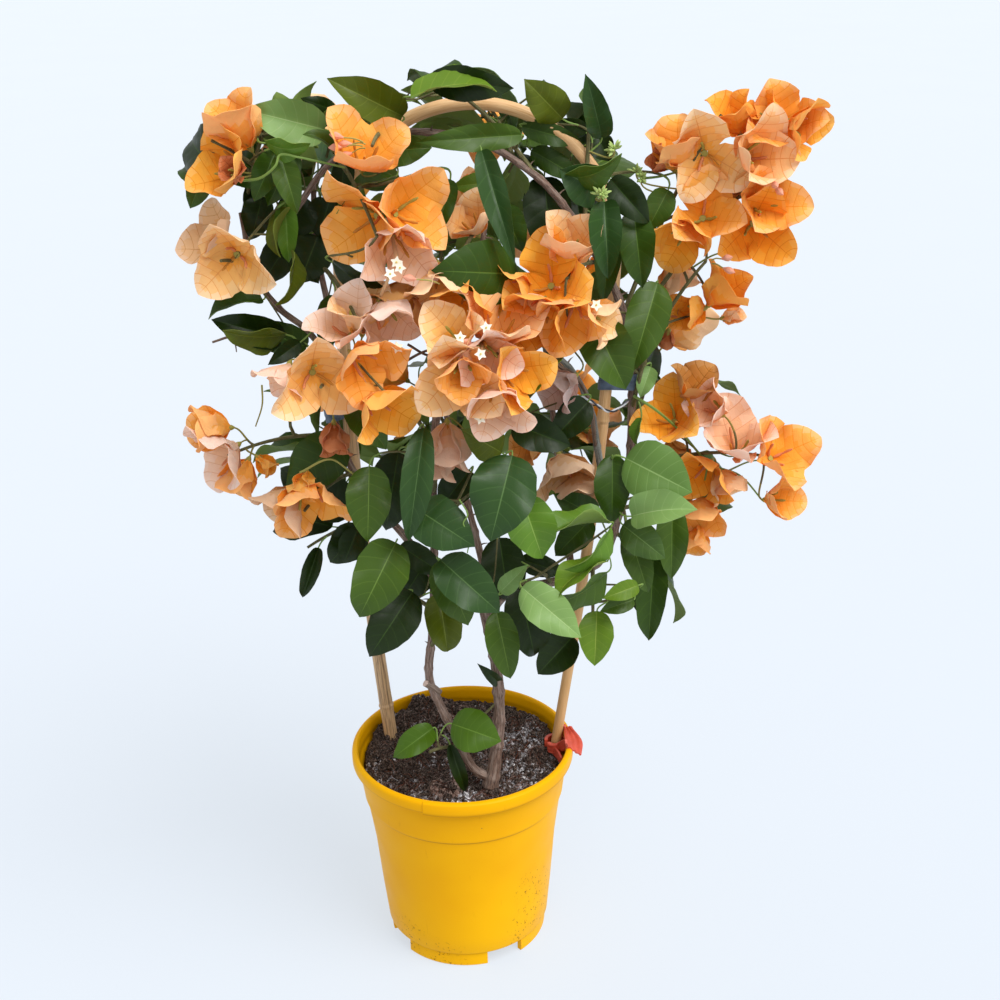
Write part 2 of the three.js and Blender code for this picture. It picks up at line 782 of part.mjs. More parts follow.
addCane();
const caneNames = [...limbs.keys()];
addWood();

const potBody = makePot();
let soilBody = makeSoil();
for (const name of ["cane_leg_left", "cane_leg_right"]) {
  soilBody = soilBody.subtract(limbs.get(name).keepOut);
}
const clipBody = makeClip();
const tieBodies = {
  tie_right: makeTie("cane_leg_right", 0.21, "bough_right_rise", 0.72),
  tie_left: makeTie("cane_leg_left", 0.74, "bough_left", 0.84),
};

for (const { body } of limbs.values()) keep("limbs", body);
for (const body of [potBody, soilBody, clipBody, ...Object.values(tieBodies)]) keep("stand", body);
const foliage = growMasses();

addPart("pot", potBody, "pot");
addPart("soil", soilBody, "soil");
addPart("clip", clipBody, "clip");
for (const [name, body] of Object.entries(tieBodies)) addPart(name, body, "tie");
for (const { name, body } of limbs.values()) {
  addPart(name, body, caneNames.includes(name) ? "cane" : "bark");
}
for (const { name, pieces, leafed, flowering } of foliage) {
  const body = largest(join(pieces).simplify(0.02));
  addPart(name, body, flowering > leafed ? "bract" : "leaf");
}

export default shrub;
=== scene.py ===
# A potted bougainvillea trained on a cane hoop: its looks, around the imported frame.
# Shapes are worked out in millimetres and turned into metres when a mesh is made.
import math

import bpy
import numpy as np
from mathutils import Matrix, Vector, noise
from mathutils.bvhtree import BVHTree


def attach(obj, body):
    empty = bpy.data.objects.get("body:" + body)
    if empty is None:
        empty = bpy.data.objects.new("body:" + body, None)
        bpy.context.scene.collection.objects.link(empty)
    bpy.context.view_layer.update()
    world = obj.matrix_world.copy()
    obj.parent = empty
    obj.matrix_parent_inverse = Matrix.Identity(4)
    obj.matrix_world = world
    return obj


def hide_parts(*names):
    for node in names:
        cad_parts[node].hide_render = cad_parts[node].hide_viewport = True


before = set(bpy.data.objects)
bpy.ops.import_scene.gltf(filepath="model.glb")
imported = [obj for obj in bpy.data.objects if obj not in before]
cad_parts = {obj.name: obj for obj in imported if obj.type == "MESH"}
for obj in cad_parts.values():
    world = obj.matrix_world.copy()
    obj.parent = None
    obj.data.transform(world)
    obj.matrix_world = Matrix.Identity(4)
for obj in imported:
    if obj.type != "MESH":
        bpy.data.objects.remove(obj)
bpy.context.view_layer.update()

scene = bpy.context.scene
mm = 0.001
upward = np.array([0.0, 0.0, 1.0])
goldenAngle = 137.5


# Directions, paths and chance

def vector(*numbers):
    return np.array(numbers, float)


def unit(v):
    return v / max(float(np.linalg.norm(v)), 1e-9)


def squareTo(v, axis):
    return unit(v - axis * float(np.dot(v, axis)))


def turned(v, axis, degrees):
    angle = math.radians(degrees)
    along = axis * float(np.dot(axis, v)) * (1 - math.cos(angle))
    return v * math.cos(angle) + np.cross(axis, v) * math.sin(angle) + along


def mix(a, b, share):
    return a + (b - a) * share


def anySquare(axis):  # a direction square to an axis, upward where it can be
    return squareTo(upward if abs(axis[2]) < 0.9 else vector(0, -1, 0), axis)


def outFrom(axis, degrees):
    return turned(anySquare(axis), axis, degrees)


def circle(count):  # angles in equal steps round a full turn
    return np.arange(count) * 2 * math.pi / count


def headings(points):
    heads = np.gradient(points, axis=0)
    return heads / np.maximum(np.linalg.norm(heads, axis=1), 1e-9)[:, None]


def chance(seed):  # a seeded row of numbers from 0 to 1
    state = seed

    def draw():
        nonlocal state
        state = state * 48271 % 2147483647
        return state / 2147483647

    for _ in range(4):
        draw()
    return draw


class Path:  # a run of close points, read by shares of its length
    def __init__(self, points):
        self.points = np.asarray(points, float)
        steps = np.linalg.norm(np.diff(self.points, axis=0), axis=1)
        self.run = np.concatenate([[0], np.cumsum(steps)])
        self.length = float(self.run[-1])

    def at(self, share):
        run = np.asarray(share) * self.length
        return np.stack([np.interp(run, self.run, self.points[:, i]) for i in range(3)], axis=-1)

    def heading(self, share):
        return unit(self.at(min(share + 0.01, 1)) - self.at(max(share - 0.01, 0)))


def smoothPath(knots, perSpan=16):  # centripetal Catmull-Rom, as the limbs are drawn
    knots = [vector(*knot) for knot in knots]
    knots = [2 * knots[0] - knots[1]] + knots + [2 * knots[-1] - knots[-2]]
    points = []
    for before, start, end, after in zip(knots, knots[1:], knots[2:], knots[3:]):
        pairs = ((before, start), (start, end), (end, after))
        a, b, c = (max(float(np.linalg.norm(q - p)) ** 0.5, 1e-4) for p, q in pairs)
        leave = ((start - before) / a - (end - before) / (a + b) + (end - start) / b) * b
        arrive = ((end - start) / b - (after - start) / (b + c) + (after - end) / c) * b
        for t in np.arange(perSpan) / perSpan:
            square = 3 * (end - start) - 2 * leave - arrive
            cube = 2 * (start - end) + leave + arrive
            points.append(start + leave * t + square * t ** 2 + cube * t ** 3)
    points.append(knots[-2])
    return Path(points)


def bezier(a, b, c, d, count=14):
    t = np.linspace(0, 1, count)[:, None]
    return a * (1 - t) ** 3 + b * 3 * t * (1 - t) ** 2 + c * 3 * t ** 2 * (1 - t) + d * t ** 3


# Meshes: a heap gathers many small shapes into one piece

class Heap:
    def __init__(self):
        self.points, self.grain, self.faces, self.finishes = [], [], [], []
        self.count = 0

    def add(self, points, faces, finish=0, grain=None):
        points = np.asarray(points, float).reshape(-1, 3)
        self.points.append(points)
        self.grain.append(np.zeros_like(points) if grain is None else grain.reshape(-1, 3))
        for block in faces:
            self.faces.append(np.asarray(block) + self.count)
            self.finishes.append(np.broadcast_to(finish, len(block)))
        self.count += len(points)

    def mesh(self, name):
        mesh = bpy.data.meshes.new(name)
        loops = np.concatenate([block.ravel() for block in self.faces])
        sizes = np.concatenate([np.full(len(block), block.shape[1]) for block in self.faces])
        mesh.vertices.add(self.count)
        mesh.vertices.foreach_set("co", (np.concatenate(self.points) * mm).ravel())
        mesh.loops.add(len(loops))
        mesh.loops.foreach_set("vertex_index", loops.astype(np.int32))
        mesh.polygons.add(len(sizes))
        starts = np.concatenate([[0], np.cumsum(sizes)[:-1]])
        mesh.polygons.foreach_set("loop_start", starts.astype(np.int32))
        mesh.polygons.foreach_set("use_smooth", np.ones(len(sizes), bool))
        mesh.update(calc_edges=True)
        mesh.validate()
        grain = mesh.attributes.new("grain", "FLOAT_VECTOR", "POINT")
        grain.data.foreach_set("vector", np.concatenate(self.grain).ravel())
        return mesh

    def piece(self, name, finishes, slot, nodes=(), crease=40):
        mesh = self.mesh(name)
        used, index = np.unique(np.concatenate(self.finishes), return_inverse=True)
        mesh.polygons.foreach_set("material_index", index.astype(np.int32).ravel())
        for number in used:
            mesh.materials.append(finishes[number])
        mesh.set_sharp_from_angle(angle=math.radians(crease))
        return show(mesh, nodes)


def show(mesh, nodes=()):
    piece = bpy.data.objects.new(mesh.name, mesh)
    scene.collection.objects.link(piece)
    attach(piece, "root")
    if nodes:
        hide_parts(*nodes)
    return piece


def gridFaces(rows, columns, closed=False):  # closed joins the last column to the first
    i = np.arange(rows - 1)[:, None]
    j = np.arange(columns if closed else columns - 1)[None, :]
    after = (j + 1) % columns
    corners = (i * columns + j, i * columns + after, (i + 1) * columns + after, (i + 1) * columns + j)
    return np.stack([np.broadcast_to(c, (rows - 1, j.shape[1])).ravel() for c in corners], axis=1)


def fanFaces(centre, first, count, flip=False):  # triangles from a middle point to a ring
    ring = np.arange(count) + first
    after = np.roll(ring, -1)
    return np.stack([np.full(count, centre), *((after, ring) if flip else (ring, after))], axis=1)


def tubeFaces(rows, columns, flip=False):  # the side and the two ends of a closed grid
    first = np.arange(columns)[::-1][None]
    last = np.arange(columns)[None] + (rows - 1) * columns
    blocks = [gridFaces(rows, columns, closed=True), first, last]
    return [block[:, ::-1] for block in blocks] if flip else blocks


def sweep(points, radii, sides=6):  # a closed tube; its grain runs along it
    points = np.asarray(points, float)
    radii = np.broadcast_to(radii, len(points)) if np.ndim(radii) < 2 else radii
    heads = headings(points)
    out = anySquare(heads[0])
    normals = []
    for head in heads:
        out = squareTo(out, head)
        normals.append(out)
    normals = np.array(normals)
    besides = np.cross(heads, normals)
    turns = circle(sides)
    ring = normals[:, None] * np.cos(turns)[:, None] + besides[:, None] * np.sin(turns)[:, None]
    size = radii[:, None, None] if radii.ndim == 1 else radii[..., None]
    grain = np.empty((len(points), sides, 3))
    grain[..., 0] = np.cos(turns) * radii.mean()
    grain[..., 1] = np.sin(turns) * radii.mean()
    grain[..., 2] = Path(points).run[:, None]
    return points[:, None] + ring * size, tubeFaces(len(points), sides), grain


def addTube(heap, points, radii, sides=6, finish=0):
    corners, faces, grain = sweep(points, radii, sides)
    heap.add(corners, faces, finish, grain)


# Finishes

def colour(text):  # a colour as people write it, in the renderer's own scale
    parts = [int(text[i:i + 2], 16) / 255 for i in (0, 2, 4)]
    return [c / 12.92 if c <= 0.04045 else ((c + 0.055) / 1.055) ** 2.4 for c in parts] + [1.0]


class Finish:  # a material with short ways to add and join nodes
    def __init__(self, name, base, roughness=0.6, **sockets):
        self.material = bpy.data.materials.new(name)
        self.material.use_nodes = True
        self.tree = self.material.node_tree
        self.shader = self.tree.nodes["Principled BSDF"]
        self.output = self.tree.nodes["Material Output"]
        self.shader.inputs["Base Color"].default_value = colour(base)
        self.shader.inputs["Roughness"].default_value = roughness
        for socket, value in sockets.items():
            self.shader.inputs[socket.replace("_", " ")].default_value = value
        self.place = self.add("ShaderNodeTexCoord").outputs["Object"]

    def feed(self, target, value):  # a plain value, or another node's output
        if hasattr(value, "links"):
            self.tree.links.new(value, target)
        else:
            target.default_value = value

    def add(self, kind, inputs=None, **settings):
        node = self.tree.nodes.new(kind)
        for key, value in settings.items():
            setattr(node, key, value)
        for socket, value in (inputs or {}).items():
            self.feed(node.inputs[socket], value)
        return node

    def useGrain(self, stretch=1.0):  # read places along the piece instead of the object's own
        attribute = self.add("ShaderNodeAttribute", attribute_name="grain")
        inputs = {0: attribute.outputs["Vector"], 1: (1, 1, stretch)}
        self.place = self.add("ShaderNodeVectorMath", inputs, operation="MULTIPLY").outputs[0]

    def speckle(self, scale, detail=3.0, rough=0.55, place=None):
        inputs = {"Scale": scale, "Detail": detail, "Roughness": rough, "Vector": place or self.place}
        return self.add("ShaderNodeTexNoise", inputs).outputs["Fac"]

    def cells(self, scale, feature="F1"):
        inputs = {"Scale": scale, "Vector": self.place}
        return self.add("ShaderNodeTexVoronoi", inputs, feature=feature).outputs["Distance"]

    def range(self, value, low, high, start=0.0, end=1.0):
        inputs = {"Value": value, "From Min": low, "From Max": high, "To Min": start, "To Max": end}
        return self.add("ShaderNodeMapRange", inputs).outputs["Result"]

    def maths(self, operation, a, b=0.0):
        return self.add("ShaderNodeMath", {0: a, 1: b}, operation=operation).outputs[0]

    def blend(self, share, a, b):  # a and b are colours or outputs
        node = self.add("ShaderNodeMix", {"Factor": share}, data_type="RGBA")
        for socket, value in (("A", a), ("B", b)):
            value = colour(value) if isinstance(value, str) else value
            self.feed([s for s in node.inputs if s.name == socket and s.type == "RGBA"][0], value)
        return [s for s in node.outputs if s.type == "RGBA"][0]

    def bump(self, height, strength, distance=0.001):
        node = self.add("ShaderNodeBump", {"Strength": strength, "Distance": distance, "Height": height})
        self.feed(self.shader.inputs["Normal"], node.outputs["Normal"])

    def paint(self, output):
        self.feed(self.shader.inputs["Base Color"], output)

    def gloss(self, value):
        self.feed(self.shader.inputs["Roughness"], value)

    def mottledGloss(self, scale, low, high, detail=3.0):
        self.gloss(self.range(self.speckle(scale, detail), 0.3, 0.7, low, high))

    def glow(self, tint, share):  # light that comes through a thin blade
        through = self.add("ShaderNodeBsdfTranslucent", {"Color": colour(tint)})
        inputs = {"Fac": share, 1: self.shader.outputs[0], 2: through.outputs[0]}
        both = self.add("ShaderNodeMixShader", inputs)
        self.feed(self.output.inputs["Surface"], both.outputs[0])

    def within(self, centre, radius, soft=0.5):  # 1 inside a ball, falling to 0 at its edge
        inputs = {0: self.place, 1: [c * mm for c in centre]}
        away = self.add("ShaderNodeVectorMath", inputs, operation="DISTANCE")
        return self.range(away.outputs["Value"], radius * mm, radius * mm * soft)


# View, floor and light

view = {
    "lens": 54,
    "film": 36,
    "place": (0, -979, 787),
    "pitch": 23.41,  # degrees down
    "yaw": 1.95,  # degrees to the right
    "roll": -1.40,
}
eye = vector(*view["place"])


def setView():
    camera = bpy.data.objects.new("camera", bpy.data.cameras.new("camera"))
    scene.collection.objects.link(camera)
    camera.data.lens = view["lens"]
    camera.data.sensor_width = view["film"]
    camera.data.clip_start = 0.02
    pitch, yaw, roll = (math.radians(view[key]) for key in ("pitch", "yaw", "roll"))
    ahead = Vector((math.sin(yaw) * math.cos(pitch), math.cos(yaw) * math.cos(pitch), -math.sin(pitch)))
    right = ahead.cross(Vector((0, 0, 1))).normalized()
    above = right.cross(ahead)
    side = right * math.cos(roll) + above * math.sin(roll)
    top = above * math.cos(roll) - right * math.sin(roll)
    frameAxes = Matrix((side, top, -ahead)).transposed().to_4x4()
    camera.matrix_world = Matrix.Translation(Vector(view["place"]) * mm) @ frameAxes
    scene.camera = camera
    scene.view_settings.view_transform = "Standard"


studio = {
    "sky": "F2F5FA",
    "skyStrength": 0.86,
    "floor": "6A6E74",
    "floorReach": 30,  # metres
    "floorLight": "EFF7FF",
    "floorGlow": 0.69,  # the paper's own light, which keeps shadows faint
    "keyStrength": 3.2,
    "keyFrom": (600, -520, 1120),
    "keySpread": 42,  # degrees across, so that shadows fall softly
}


def setStudio():
    world = bpy.data.worlds.new("studio")
    scene.world = world
    world.use_nodes = True
    background = world.node_tree.nodes["Background"]
    background.inputs["Color"].default_value = colour(studio["sky"])
    background.inputs["Strength"].default_value = studio["skyStrength"]
    key = bpy.data.objects.new("key", bpy.data.lights.new("key", "SUN"))
    key.data.energy = studio["keyStrength"]
    key.data.angle = math.radians(studio["keySpread"])
    key.rotation_euler = (-Vector(studio["keyFrom"])).to_track_quat("-Z", "Y").to_euler()
    scene.collection.objects.link(key)
    reach, drop = studio["floorReach"], -0.0002
    mesh = bpy.data.meshes.new("floor")
    corners = [(-reach, -reach, drop), (reach, -reach, drop), (reach, reach, drop), (-reach, reach, drop)]
    mesh.from_pydata(corners, [], [(0, 1, 2, 3)])
    floor = bpy.data.objects.new("floor", mesh)
    scene.collection.objects.link(floor)
    paper = Finish("floor_paper", studio["floor"], 0.9, Emission_Strength=studio["floorGlow"])
    paper.shader.inputs["Emission Color"].default_value = colour(studio["floorLight"])
    paper.mottledGloss(3, 0.86, 0.95)
    mesh.materials.append(paper.material)


setView()
setStudio()
print("stage: view and studio")


# Pot

pot = {
    "rim": 85,
    "height": 164,
    "lipHeight": 9.5,
    "bottom": 12,  # underside and top of the pot's floor
    "floor": 14,
    "foot": {"radius": 61, "width": 4, "height": 12.6, "notch": 28, "firstNotch": 26.6},  # notches in degrees
    "boss": {"radius": 14, "height": 12.4, "segments": 30},
    "seamAngle": 249,  # degrees from +X, where the lip's two ends meet
    "seamRise": 0.9,
    "segments": 220,
    "shadeLines": [(153.6, 2.4, 0.5), (123.6, 1.1, 0.55), (12.0, 1.2, 0.6)],  # painted shade lines under the lip, at the step ring and above the foot: height, reach, depth of tone
    "dusty": [  # places and reach of speckled dirt
        ((60, -36, 36), 38), ((50, -46, 60), 24), ((46, -50, 22), 26), ((-44, -46, 10), 30),
        ((-20, -60, 4), 24),
    ],
    "marks": [
        ((-4.5, -72.5, 92), 1.2), ((-43, -56, 104), 1.1), ((-27, -65, 100), 0.9), ((64, -30, 60), 1.2),
    ],
}


def potFinish():
    plastic = Finish("pot_plastic_yellow", "E8A800", 0.4, Specular_IOR_Level=0.07)
    cloud = plastic.speckle(9, 3)
    tone = plastic.blend(plastic.range(cloud, 0.35, 0.65), "E4A200", "ECAE00")
    drawnOut = plastic.add("ShaderNodeMapping", {"Vector": plastic.place, "Scale": (1, 1, 0.12)}).outputs[0]
    scuff = plastic.range(plastic.speckle(260, 4, 0.6, drawnOut), 0.66, 0.74)
    tone = plastic.blend(plastic.maths("MULTIPLY", scuff, 0.25), tone, "C48200")
    tall = plastic.add("ShaderNodeSeparateXYZ", {0: plastic.place})
    # painted shade: a darker line under the lip, at the step ring and above the foot, where shade falls
    for level, reach, share in pot["shadeLines"]:
        away = plastic.maths("ABSOLUTE", plastic.maths("SUBTRACT", tall.outputs["Z"], level * mm))
        line = plastic.range(away, reach * mm, 0.0)
        tone = plastic.blend(plastic.maths("MULTIPLY", line, share), tone, "8A5600")
    specks = plastic.range(plastic.speckle(380, 3, 0.7), 0.615, 0.64)
    for centre, reach in pot["dusty"]:
        here = plastic.within(centre, reach, 0.25)
        tone = plastic.blend(plastic.maths("MULTIPLY", here, specks), tone, "6E3E04")
        grime = plastic.maths("MULTIPLY", here, plastic.range(plastic.speckle(45, 4), 0.45, 0.65))
        tone = plastic.blend(plastic.maths("MULTIPLY", grime, 0.16), tone, "C07A08")
    for centre, reach in pot["marks"]:
        tone = plastic.blend(plastic.within(centre, reach, 0.6), tone, "4A3312")
    plastic.paint(tone)
    plastic.mottledGloss(40, 0.34, 0.5, 4)
    plastic.bump(plastic.speckle(420, 2), 0.06, 0.0004)
    return plastic.material


def potProfile(lipFoot):  # radius, height, and how much of the seam's rise each point takes
    rim, height, bottom, floor = pot["rim"] - 0.9, pot["height"], pot["bottom"], pot["floor"]
    return [
        (0, bottom, 0), (30, bottom, 0), (57, bottom, 0), (61.6, bottom, 0), (62.7, 12.5, 0), (63.2, 13.6, 0),
        (64.6, 28, 0), (66.2, 44, 0), (68, 65, 0), (69.8, 87, 0), (72.2, 105, 0), (74.6, 122, 0),
        (74.8, 123.4, 0), (75.3, 124.2, 0), (76.0, 124.6, 0), (76.3, 125.6, 0), (76.4, 127, 0),
        (78.0, 139, 0), (79.6, 149, 0), (80.2, lipFoot + 0.6, 0), (80.6, lipFoot, 0.3),
        (rim - 0.9, lipFoot - 0.4, 0.9), (rim - 0.3, lipFoot, 1), (rim, lipFoot + 1.0, 1),
        (rim, height - 3.2, 1), (rim - 0.35, height - 1.4, 1), (rim - 1.4, height - 0.35, 0.8),
        (rim - 2.6, height, 0.4), (rim - 3.6, height - 0.25, 0), (rim - 4.5, height - 1.4, 0),
        (rim - 5, height - 3.2, 0), (79.4, 156, 0), (78.0, 150, 0), (76, 139, 0), (74.4, 127, 0),
        (73.8, 125.6, 0), (72.8, 123, 0), (67.8, 87, 0), (64.2, 44, 0), (61.2, 16, 0), (59, floor, 0),
        (30, floor, 0), (0, floor, 0),
    ]


def addShell(heap):
    seam = pot["seamAngle"]
    angles = np.linspace(0, 360, pot["segments"], endpoint=False)
    angles = np.sort(np.concatenate([angles, [seam - 0.2, seam + 0.2]]))
    past = (angles - seam) % 360
    proud = pot["seamRise"] * np.clip(1 - past / 150, 0, 1) * (past < 355)
    lipFoot = pot["height"] - pot["lipHeight"]
    profile = potProfile(lipFoot)
    radius, level, share = (np.array(column, float)[:, None] for column in zip(*profile))
    reach = radius + share * proud
    heights = level - (share > 0.25) * (level < lipFoot + 2) * proud * 1.2
    theta = np.radians(angles)
    points = np.stack([reach * np.cos(theta), reach * np.sin(theta), heights], axis=-1)
    inner = points[1:-1].reshape(-1, 3)  # both ends of the profile close at a single point
    middle = np.array([[0, 0, pot["bottom"]], [0, 0, pot["floor"]]], float)
    rows, count = len(profile) - 2, len(angles)
    under = fanFaces(len(inner), 0, count, flip=True)
    floor = fanFaces(len(inner) + 1, (rows - 1) * count, count)
    heap.add(np.concatenate([inner, middle]), [gridFaces(rows, count, closed=True), under, floor])


def addFoot(heap):  # a ring open at four notches
    foot = pot["foot"]
    outer, inside, top = foot["radius"], foot["radius"] - foot["width"], foot["height"]
    section = [(outer - 0.6, 0), (outer - 0.1, 0.5), (outer, 1.2), (outer, top), (inside, top), (inside, 0)]
    for i in range(4):
        start = -90 + foot["firstNotch"] + 90 * i + foot["notch"] / 2
        arc = np.radians(np.linspace(start, start + 90 - foot["notch"], 26))
        grid = np.array([[(r * math.cos(a), r * math.sin(a), z) for r, z in section] for a in arc])
        heap.add(grid, tubeFaces(len(arc), len(section), flip=True))


def addBoss(heap):
    reach, segments = pot["boss"]["radius"], pot["boss"]["segments"]
    angles = np.radians(np.arange(0, 360, 360 // segments))
    disc = [(reach * math.cos(a), reach * math.sin(a), z) for z in (pot["boss"]["height"], 0) for a in angles]
    heap.add(disc, tubeFaces(2, segments, flip=True))


def makePot():
    heap = Heap()
    addShell(heap)
    addFoot(heap)
    addBoss(heap)
    heap.piece("pot_body", [potFinish()], "pot_plastic", ["pot"], crease=34)


makePot()
print("stage: pot")


# Potting mix

mixture = {
    "top": 142.5,
    "bottom": 14.5,
    "mound": 6,
    "backRise": 12.5,  # how much higher the mix lies at the back
    "rings": 74,
    "segments": 210,
    "crusted": (0.28, 0.62),  # from here the mix is dusty, and from here crusted
    "seed": 11,
    "crumbs": (1500, 0.0006, 0.0022),  # how many, smallest and largest in metres
    "clods": (150, 0.0016, 0.0042),
    "grit": (3400, 0.0004, 0.0012),
    "fibres": 900,
    "fibreReach": 73,
}
crusts = [
    ((50, -24), 36), ((24, -60), 22), ((-6, -52), 17), ((46, 22), 20), ((-40, -44), 19), ((-58, -14), 12),
]
plugs = [((-14, -36), 15, 9), ((-6, 52), 16, 4), ((-46, 56), 32, 10)]  # blocks of coir: place, reach, height


def wallRadius(z):  # inner face of the pot
    return float(np.interp(z, [16, 44, 87, 123, 127, 150], [61.2, 64.2, 67.8, 72.8, 74.4, 78.0])) - 0.35


def soilHeight(x, y):
    place = Vector((x, y, 0))
    broad = noise.noise(place * 0.028 + Vector((7, 3, 1)))
    lumps = noise.fractal(place * 0.10, 1.0, 2.1, 3)
    fine = noise.fractal(place * 0.42 + Vector((0, 5, 2)), 0.9, 2.1, 3)
    clod = noise.cell_vector(place * 0.12).x
    rise = mixture["backRise"] * min(1.0, max(0.0, (y + 25) / 70)) ** 1.3
    for (cx, cy), reach, height in plugs:
        rise += height * math.exp(-(((x - cx) / reach) ** 2 + ((y - cy) / reach) ** 2) ** 2)
    return mixture["top"] + mixture["mound"] * broad + 4.0 * lumps + 2.4 * fine + 2.0 * clod + rise - 2.5


def crustShare(x, y):
    share = 0.0
    for (cx, cy), reach in crusts:
        away = math.hypot(x - cx, y - cy) / reach
        share = max(share, 1.15 - away)
    wisp = noise.fractal(Vector((x, y, 4)) * 0.13, 1.0, 2.0, 4)
    return max(0.0, min(1.0, share + wisp * 0.9))


def soilFinish(name, dark, light, pale, clumps=800):
    earth = Finish(name, dark, 0.95, Specular_IOR_Level=0.2)
    tone = earth.blend(earth.range(earth.speckle(420, 5, 0.75), 0.40, 0.60), dark, light)
    tone = earth.blend(earth.range(earth.speckle(clumps, 5, 0.75), 0.50, 0.58), tone, pale)
    earth.paint(tone)
    earth.mottledGloss(200, 0.85, 1.0)
    earth.bump(earth.speckle(1100, 4, 0.7), 0.7, 0.0008)
    return earth.material


def scatterTree():  # small solids strewn over a surface
    tree = bpy.data.node_groups.new("strewn_crumbs", "GeometryNodeTree")
    socket = tree.interface.new_socket
    socket("Geometry", in_out="INPUT", socket_type="NodeSocketGeometry")
    for name, kind, value in (
        ("Amount", "NodeSocketFloat", 1000.0), ("Smallest", "NodeSocketFloat", 0.001),
        ("Largest", "NodeSocketFloat", 0.003), ("Seed", "NodeSocketInt", 1),
    ):
        socket(name, in_out="INPUT", socket_type=kind).default_value = value
    socket("Finish", in_out="INPUT", socket_type="NodeSocketMaterial")
    socket("Geometry", in_out="OUTPUT", socket_type="NodeSocketGeometry")
    add = tree.nodes.new
    given, result = add("NodeGroupInput"), add("NodeGroupOutput")
    strew = add("GeometryNodeDistributePointsOnFaces")
    grain = add("GeometryNodeMeshIcoSphere")
    grain.inputs["Radius"].default_value = 1.0
    grain.inputs["Subdivisions"].default_value = 1
    size, turn = add("FunctionNodeRandomValue"), add("FunctionNodeRandomValue")
    size.data_type = turn.data_type = "FLOAT_VECTOR"
    turn.inputs["Max"].default_value = (6.28, 6.28, 6.28)
    place = add("GeometryNodeInstanceOnPoints")
    real, coat = add("GeometryNodeRealizeInstances"), add("GeometryNodeSetMaterial")
    for source, output, target, socket in (
        (given, "Geometry", strew, "Mesh"), (given, "Amount", strew, "Density"),
        (given, "Seed", strew, "Seed"), (given, "Seed", size, "Seed"),
        (given, "Smallest", size, "Min"), (given, "Largest", size, "Max"),
        (strew, "Points", place, "Points"), (grain, "Mesh", place, "Instance"),
        (turn, "Value", place, "Rotation"), (size, "Value", place, "Scale"),
        (place, "Instances", real, "Geometry"), (real, "Geometry", coat, "Geometry"),
        (given, "Finish", coat, "Material"), (coat, "Geometry", result, "Geometry"),
    ):
        tree.links.new(source.outputs[output], target.inputs[socket])
    return tree


def strewn(tree, name, surface, finish, kind, seed):
    holder = bpy.data.objects.new("holder", surface)
    scene.collection.objects.link(holder)
    modifier = holder.modifiers.new("strewn", "NODES")
    modifier.node_group = tree
    amount, smallest, largest = mixture[kind]
    area = math.pi * (wallRadius(140) * mm) ** 2
    size = {"Smallest": smallest, "Largest": largest}
    inputs = {"Amount": amount / area, "Seed": seed, "Finish": finish, **size}
    for item in tree.interface.items_tree:
        if item.in_out == "INPUT" and item.name in inputs:
            modifier[item.identifier] = inputs[item.name]
    bpy.context.view_layer.update()
    ready = holder.evaluated_get(bpy.context.evaluated_depsgraph_get())
    mesh = bpy.data.meshes.new_from_object(ready)
    mesh.name = name
    bpy.data.objects.remove(holder)
    show(mesh)


def soilGrid():  # rings over the top, then rings down the side
    turns = circle(mixture["segments"])
    rings = []
    for share in np.linspace(0.02, 1, mixture["rings"]):
        reach = wallRadius(mixture["top"]) * share
        edge = 2.5 * max(0.0, (share - 0.96) / 0.04)
        places = [(reach * math.cos(a), reach * math.sin(a)) for a in turns]
        rings.append([(x, y, soilHeight(x, y) - edge) for x, y in places])
    for radius, z in [(wallRadius(z), z) for z in (120, 87, 44)] + [(60, mixture["bottom"])]:
        rings.append([(radius * math.cos(a), radius * math.sin(a), z) for a in turns])
    return np.array(rings)


def soilTints(centres, topFaces):  # which finish each face takes
    tint = np.digitize([crustShare(x, y) for x, y, _ in centres], mixture["crusted"])
    for (cx, cy), reach, _ in plugs[:2]:
        tint[np.hypot(centres[:, 0] - cx, centres[:, 1] - cy) < reach * 0.9] = 3
    tint[topFaces:] = 0
    return tint


def surfaceMesh(name, points, faces):
    mesh = bpy.data.meshes.new(name)
    mesh.from_pydata((points * mm).tolist(), [], faces.tolist())
    return mesh


def makeSoil():
    rings, segments = mixture["rings"], mixture["segments"]
    grid = soilGrid()
    points = grid.reshape(-1, 3)
    faces = gridFaces(len(grid), segments, closed=True)[:, ::-1]
    tint = soilTints(points[faces].mean(axis=1), (rings - 1) * segments)
    finishes = [
        soilFinish("potting_mix_dark", "15100E", "40332C", "75655C"),
        soilFinish("potting_mix_dusty", "231C1B", "6A605E", "B0A9A8", 420),
        soilFinish("potting_mix_crust", "4A4344", "9D979A", "ECEAEC", 330),
        soilFinish("coir_plug", "4E3B34", "93786D", "BDA69A", 500),
    ]
    heap = Heap()
    heap.add(np.concatenate([points, [(0, 0, soilHeight(0, 0)), (0, 0, mixture["bottom"])]]), [faces], tint)
    heap.faces += [
        fanFaces(len(points), 0, segments),
        fanFaces(len(points) + 1, (len(grid) - 1) * segments, segments, flip=True),
    ]
    heap.finishes += [np.zeros(segments, int)] * 2
    heap.piece("potting_mix", finishes, "potting_soil", ["soil"], crease=180)

    tree, seed = scatterTree(), mixture["seed"]
    inner = grid[:rings - 2].reshape(-1, 3)
    quads = gridFaces(rings - 2, segments, closed=True)[:, ::-1]
    surface = surfaceMesh("surface", inner, quads)
    pale = surfaceMesh("pale_surface", inner, quads[np.isin(tint[:len(quads)], (1, 2))])
    strewn(tree, "soil_crumbs", surface, finishes[0], "crumbs", seed)
    strewn(tree, "soil_clods", surface, finishes[0], "clods", seed + 1)
    strewn(tree, "soil_grit", pale, finishes[2], "grit", seed + 2)


